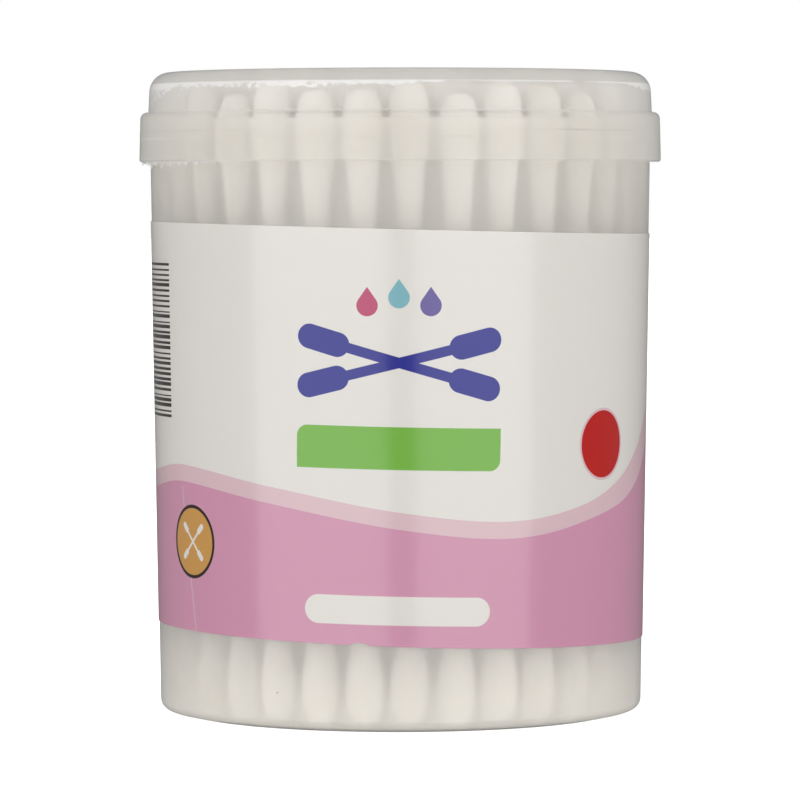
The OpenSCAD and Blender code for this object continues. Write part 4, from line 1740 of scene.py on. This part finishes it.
@dataclass
class SwabShape:
    """One swab: a stick with a wound bud of cotton on each end.

    Attributes:
        length: Length of the swab.
        stick_r: Radius of the stick.
        bud_r: Radius of a bud where it is widest.
        tip_r: Radius from which the tip is rounded.
        cuff_r: Radius where the cotton ends on the stick.
        nose: Length of the rounded tip.
        upper: Length of the upper bud.
        lower: Length of the lower bud.
        tip_cover: Thickness of the cotton over the stick's end.
        tip_size: Share of the radius that the very end of the tip keeps.
        tip_edge: Length over which it grows to the full radius.
        sink: Share of the radius that the winding takes off.
        lumps: Strength of the lumps, as a share of the radius.
        lump_scale: Noise steps round the bud, and millimetres to a step along it.
        ridges: Strength of the finer ridges.
        ridge_scale: The same steps for the ridges.
    """

    length: float = 75.0 * MM
    stick_r: float = 1.2 * MM
    bud_r: float = 2.35 * MM
    tip_r: float = 0.75 * MM
    cuff_r: float = 1.5 * MM
    nose: float = 3.2 * MM
    upper: float = 17.0 * MM
    lower: float = 12.0 * MM
    tip_cover: float = 2.5 * MM
    tip_size: float = 0.86
    tip_edge: float = 0.35 * MM
    sink: float = 0.025
    lumps: float = 0.05
    lump_scale: Point2 = (1.1, 4.0)
    ridges: float = 0.02
    ridge_scale: Point2 = (2.3, 1.4)

    def bud_radius(self, z: float, total: float) -> float:
        """Radius of the even bud.

        Args:
            z: Distance from the tip.
            total: Length of the cotton.

        Returns:
            The radius.
        """
        if z < self.nose:
            rise = math.sqrt(max(0.0, 1 - (1 - z / self.nose) ** 2))
            return self.tip_r + (self.bud_r - self.tip_r) * rise
        u = (z - self.nose) / (total - self.nose)
        return self.cuff_r + (self.bud_r - self.cuff_r) * (1 + math.cos(math.pi * u)) / 2

    def wound_radius(self, z: float, side: Vector, total: float, seed: int) -> float:
        """Radius of the bud's uneven surface.

        Args:
            z: Distance from the tip.
            side: Direction from the axis.
            total: Length of the cotton.
            seed: Number that sets the lumps.

        Returns:
            The radius.
        """
        across, along = self.lump_scale
        lump = noise.noise(side * across + Vector((seed * 7.3, 0, z / MM / along)))
        across, along = self.ridge_scale
        ridge = noise.noise(side * across + Vector((seed * 3.1, 5, z / MM / along)))
        tip = self.tip_size + (1 - self.tip_size) * progress(z, 0, self.tip_edge)
        wound = 1 - self.sink + self.lumps * lump + self.ridges * ridge
        return self.bud_radius(z, total) * wound * tip

    def bud(self, name: str, total: float, sides: int, rings: int,
            seed: int) -> bpy.types.Object:
        """Makes one bud with its tip at the origin, pointing down.

        Args:
            name: Name of the mesh.
            total: Length of the cotton.
            sides: Number of sides.
            rings: Number of rings from tip to cuff.
            seed: Number that sets its lumps.

        Returns:
            The bud.
        """
        tip_rings = rings // 3
        places = [self.nose * (1 - math.cos(math.pi / 2 * i / tip_rings))
                  for i in range(tip_rings)]
        rest = rings - tip_rings
        places += [self.nose + (total - self.nose) * i / rest for i in range(rest + 1)]
        points: list[Point3] = [(0, 0, 0)]
        for z in places:
            for j in range(sides):
                turn = 2 * math.pi * j / sides
                side = Vector((math.cos(turn), math.sin(turn), 0))
                r = self.wound_radius(z, side, total, seed)
                points.append((r * side.x, r * side.y, z))
        faces: list[tuple[int, ...]] = []
        for j in range(sides):
            faces.append((0, 1 + (j + 1) % sides, 1 + j))
        for i in range(len(places) - 1):
            a, b = 1 + i * sides, 1 + (i + 1) * sides
            for j in range(sides):
                k = (j + 1) % sides
                faces.append((a + j, a + k, b + k, b + j))
        top = len(points)
        points.append((0, 0, total))
        last = 1 + (len(places) - 1) * sides
        for j in range(sides):
            faces.append((last + j, last + (j + 1) % sides, top))
        return mesh_object(name, points, faces, 60)

    def stick(self, name: str) -> bpy.types.Object:
        """Makes one stick along Z, from its foot at the origin.

        Args:
            name: Name of the mesh.

        Returns:
            The stick.
        """
        total = self.length - 2 * self.tip_cover
        outline = [(0, 0), (self.stick_r, 0), (self.stick_r, total), (0, total)]
        return lathe(name, outline, 16)


@dataclass
class Bundle:
    """The swabs in rings on the tub's floor.

    Attributes:
        tub: The tub that holds them.
        shape: The swab.
        wall_gap: Gap between the tub's wall and the outer ring.
        ring_gap: Gap from ring to ring.
        outer_gap: Least gap from swab to swab in the outer ring.
        side_gap: Least gap from swab to swab in the other rings.
        stand_gap: Least gap between a swab and the floor.
        lift: How much higher a swab may stand.
        spread: How much longer or shorter a swab may be.
        wander: Share of the free room that a swab may stray to either side.
        turn: Direction of each ring's first swab from the X axis, in degrees.
        slack: Least and most that an upper bud is wound short of the swab's full length.
        last_ring: Number of the last ring, which is a single swab.
        kinds: Number of different buds in a group.
        detail: Sides and rings of a bud's mesh in each group.
    """

    tub: Tub
    shape: SwabShape
    wall_gap: float = 0.35 * MM
    ring_gap: float = 0.18 * MM
    outer_gap: float = 0.5 * MM
    side_gap: float = 0.2 * MM
    stand_gap: float = 0.05 * MM
    lift: float = 0.3 * MM
    spread: float = 0.35 * MM
    wander: float = 0.35
    turn: float = 5.3
    slack: Point2 = (0.3 * MM, 0.95 * MM)
    last_ring: int = 5
    kinds: int = 6
    detail: dict[Ring, tuple[int, int]] = field(default_factory=lambda: {
        Ring.OUTER: (28, 34), Ring.SECOND: (18, 22), Ring.INNER: (14, 18)})

    @property
    def outer_r(self) -> float:
        """Radius of the outer ring of swabs."""
        return (self.tub.wall.radius(self.tub.floor) - self.tub.thickness - self.wall_gap
                - self.shape.bud_r)

    def ring_r(self, ring: int) -> float:
        """Radius of a ring."""
        pitch = 2 * self.shape.bud_r + self.ring_gap
        return self.outer_r - ring * pitch if ring < self.last_ring else 0.0

    def count(self, ring: int) -> int:
        """Number of swabs in a ring.

        Args:
            ring: Number of the ring.

        Returns:
            The number that fits.
        """
        gap = self.outer_gap if ring == 0 else self.side_gap
        room = 2 * math.pi * self.ring_r(ring) / (2 * self.shape.bud_r + gap)
        return math.floor(room) if ring < self.last_ring else 1

    @staticmethod
    def waver(i: int, ring: int) -> float:
        """A steady number from -1 to 1 for swab i of a ring."""
        return math.sin(math.radians(i * 137.5 + ring * 71))

    def swabs(self, group: Ring) -> list[tuple[Vector, Vector, float]]:
        """Places the swabs of a group of rings.

        Args:
            group: The group of rings.

        Returns:
            Foot, direction and length of each swab.
        """
        found = []
        for ring in group.numbers:
            radius, count = self.ring_r(ring), self.count(ring)
            free = 0.0
            if ring < self.last_ring:
                chord = 2 * radius * math.sin(math.pi / count) - 2 * self.shape.bud_r
                free = self.wander * chord / radius / 2
            lean = math.radians(self.tub.wall.lean) * radius / self.outer_r
            for i in range(count):
                turn = (math.radians(self.turn) + 2 * math.pi * i / count
                        + free * self.waver(i, ring))
                rise = self.lift * (1 + self.waver(i, ring + 3)) / 2
                foot_z = self.tub.floor + self.stand_gap + rise
                out = Vector((math.cos(turn), math.sin(turn), 0))
                way = out * math.sin(lean) + Vector((0, 0, math.cos(lean)))
                length = self.shape.length + self.spread * self.waver(i, ring + 8)
                found.append((radius * out + Vector((0, 0, foot_z)), way, length))
        return found

    def short_by(self, i: int) -> float:
        """How far the upper bud of swab i was wound below the stick's full reach."""
        least, most = self.slack
        return least + (most - least) * (1 + self.waver(i, 5)) / 2

    def build(self, cotton: bpy.types.Material, plastic: bpy.types.Material) -> None:
        """Makes the sticks and the buds of each group of rings.

        Args:
            cotton: The buds' material.
            plastic: The sticks' material.
        """
        for group in Ring:
            swabs = self.swabs(group)
            sides, rings = self.detail[group]
            cover = self.shape.tip_cover
            sticks = scatter(
                f"sticks_{group.label}_set", [self.shape.stick("stick_pattern")],
                [(foot + way * (cover + (length - self.shape.length) / 2), way)
                 for foot, way, length in swabs], plastic)
            finish_piece(sticks, plastic, Body.TUB, [f"sticks_{group.label}"])
            for part, total in (("upper", self.shape.upper), ("lower", self.shape.lower)):
                buds = [self.shape.bud(f"bud_{part}_{k}", total, sides, rings, k + 10)
                        for k in range(self.kinds)]
                places = [(foot + way * (length - self.short_by(i)), -way)
                          if part == "upper" else (foot, way)
                          for i, (foot, way, length) in enumerate(swabs)]
                cluster = scatter(f"{part}_buds_{group.label}", buds, places, cotton)
                finish_piece(cluster, cotton, Body.TUB,
                             [f"{part}_heads_{group.label}"])


def scatter_tree(name: str, kinds: int) -> tuple[bpy.types.NodeTree, dict[str, str]]:
    """Builds a Geometry Nodes tree that puts one of several patterns on each point.

    Args:
        name: Name of the tree.
        kinds: Number of patterns to choose from.

    Returns:
        The tree, and the identifiers of its inputs by name.
    """
    tree = bpy.data.node_groups.new(name, "GeometryNodeTree")
    inputs = {label: tree.interface.new_socket(label, in_out="INPUT",
                                               socket_type="NodeSocket" + kind).identifier
              for label, kind in (("Geometry", "Geometry"), ("Patterns", "Collection"),
                                  ("Size", "Float"), ("Seed", "Int"), ("Finish", "Material"))}
    tree.interface.new_socket("Geometry", in_out="OUTPUT", socket_type="NodeSocketGeometry")
    graph = Graph(tree)
    entry = graph.node("NodeGroupInput")
    leave = graph.node("NodeGroupOutput")

    def drawn(data_type: str, socket_type: str, most: float) -> bpy.types.NodeSocket:
        """A number drawn for each point, from 0 to the most.

        Args:
            data_type: Type of the random value.
            socket_type: Type of its sockets.
            most: The highest number.

        Returns:
            The number.
        """
        made = graph.node("FunctionNodeRandomValue", {"data_type": data_type},
                          Seed=entry.outputs["Seed"])
        limit = next(s for s in made.inputs if s.name == "Max" and s.type == socket_type)
        graph.feed(limit, most)
        return next(s for s in made.outputs if s.type == socket_type)

    stock = graph.node("GeometryNodeCollectionInfo", Collection=entry.outputs["Patterns"],
                       Separate_Children=True, Reset_Children=True)
    pointing = graph.node("GeometryNodeInputNamedAttribute", {"data_type": "FLOAT_VECTOR"},
                          Name="way")
    aim = graph.node("FunctionNodeAlignRotationToVector", {"axis": "Z"},
                     Vector=pointing.outputs["Attribute"])
    spin = graph.node("CombineXYZ", Z=drawn("FLOAT", "VALUE", 2 * math.pi))
    whirl = graph.node("FunctionNodeEulerToRotation", Euler=spin.outputs[0])
    rotate = graph.node("FunctionNodeRotateRotation", {"rotation_space": "LOCAL"},
                        Rotation=aim.outputs[0], Rotate_By=whirl.outputs[0])
    copies = graph.node("GeometryNodeInstanceOnPoints", Points=entry.outputs["Geometry"],
                        Instance=stock.outputs[0], Pick_Instance=True,
                        Instance_Index=drawn("INT", "INT", kinds - 1),
                        Rotation=rotate.outputs[0], Scale=entry.outputs["Size"])
    real = graph.node("GeometryNodeRealizeInstances", Geometry=copies.outputs[0])
    dress = graph.node("GeometryNodeSetMaterial", Geometry=real.outputs[0],
                       Material=entry.outputs["Finish"])
    graph.feed(leave.inputs[0], dress.outputs[0])
    return tree, inputs


def scatter(name: str, patterns: list[bpy.types.Object], places: list[tuple[Vector, Vector]],
            material: bpy.types.Material, seed: int = 7) -> bpy.types.Object:
    """Puts pattern meshes on points with Geometry Nodes and makes the result a plain mesh.

    Args:
        name: Name of the piece.
        patterns: The meshes to choose from, which are removed afterwards.
        places: Where each copy's origin lies, and where its Z axis points.
        material: The material that the tree sets.
        seed: Number that sets the choice and the turn of each copy.

    Returns:
        The finished piece.
    """
    holder = bpy.data.collections.new(name + "_patterns")
    bpy.context.scene.collection.children.link(holder)
    for pattern in patterns:
        bpy.context.scene.collection.objects.unlink(pattern)
        holder.objects.link(pattern)
    seeds = bpy.data.meshes.new(name + "_seeds")
    seeds.from_pydata([place for place, _ in places], [], [])
    way = seeds.attributes.new("way", "FLOAT_VECTOR", "POINT")
    way.data.foreach_set("vector", np.array([w for _, w in places], np.float32).ravel())
    piece = bpy.data.objects.new(name, seeds)
    bpy.context.scene.collection.objects.link(piece)

    maker = piece.modifiers.new("maker", "NODES")
    maker.node_group, inputs = scatter_tree(name + "_tree", len(patterns))
    for label, value in (("Patterns", holder), ("Size", 1.0), ("Seed", seed),
                         ("Finish", material)):
        maker[inputs[label]] = value
    view = bpy.context.evaluated_depsgraph_get()
    mesh = bpy.data.meshes.new_from_object(piece.evaluated_get(view))
    piece.modifiers.remove(maker)
    piece.data = mesh
    mesh.name = name
    for pattern in patterns:
        bpy.data.objects.remove(pattern)
    bpy.data.collections.remove(holder)
    return piece


def main() -> None:
    """Builds the pieces in order, from the stage to the swabs."""
    logging.basicConfig(level=logging.INFO, format="%(name)s: %(message)s")
    Studio().build()
    patterns = Patterns()
    wall = Wall()
    tub = Tub(wall)
    tub_plastic = MilkyPlastic("tub_polypropylene", (0.99, 0.965, 0.915), haze=0.65, blur=0.6)
    tub.build(tub_plastic.build(patterns))
    lid = Lid(tub)
    lid_plastic = MilkyPlastic("lid_polypropylene", (0.955, 0.935, 0.9), haze=0.36, blur=0.35,
                               lid_marks=LidMarks())
    lid.build(lid_plastic.build(patterns))
    torn_plastic = MilkyPlastic("torn_polypropylene", (0.99, 0.985, 0.97), haze=0.9, blur=0.4,
                                gloss=0.4)
    Flash(lid).build(torn_plastic.build(patterns))
    label = Label(wall)
    nodes = ["label"] + sorted(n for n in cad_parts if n.startswith("print_"))
    label.build(PrintedFilm().build(label, patterns), nodes)
    Bundle(tub, SwabShape()).build(Cotton().build(), StickPlastic().build(patterns))


if __name__ == "__main__":
    main()
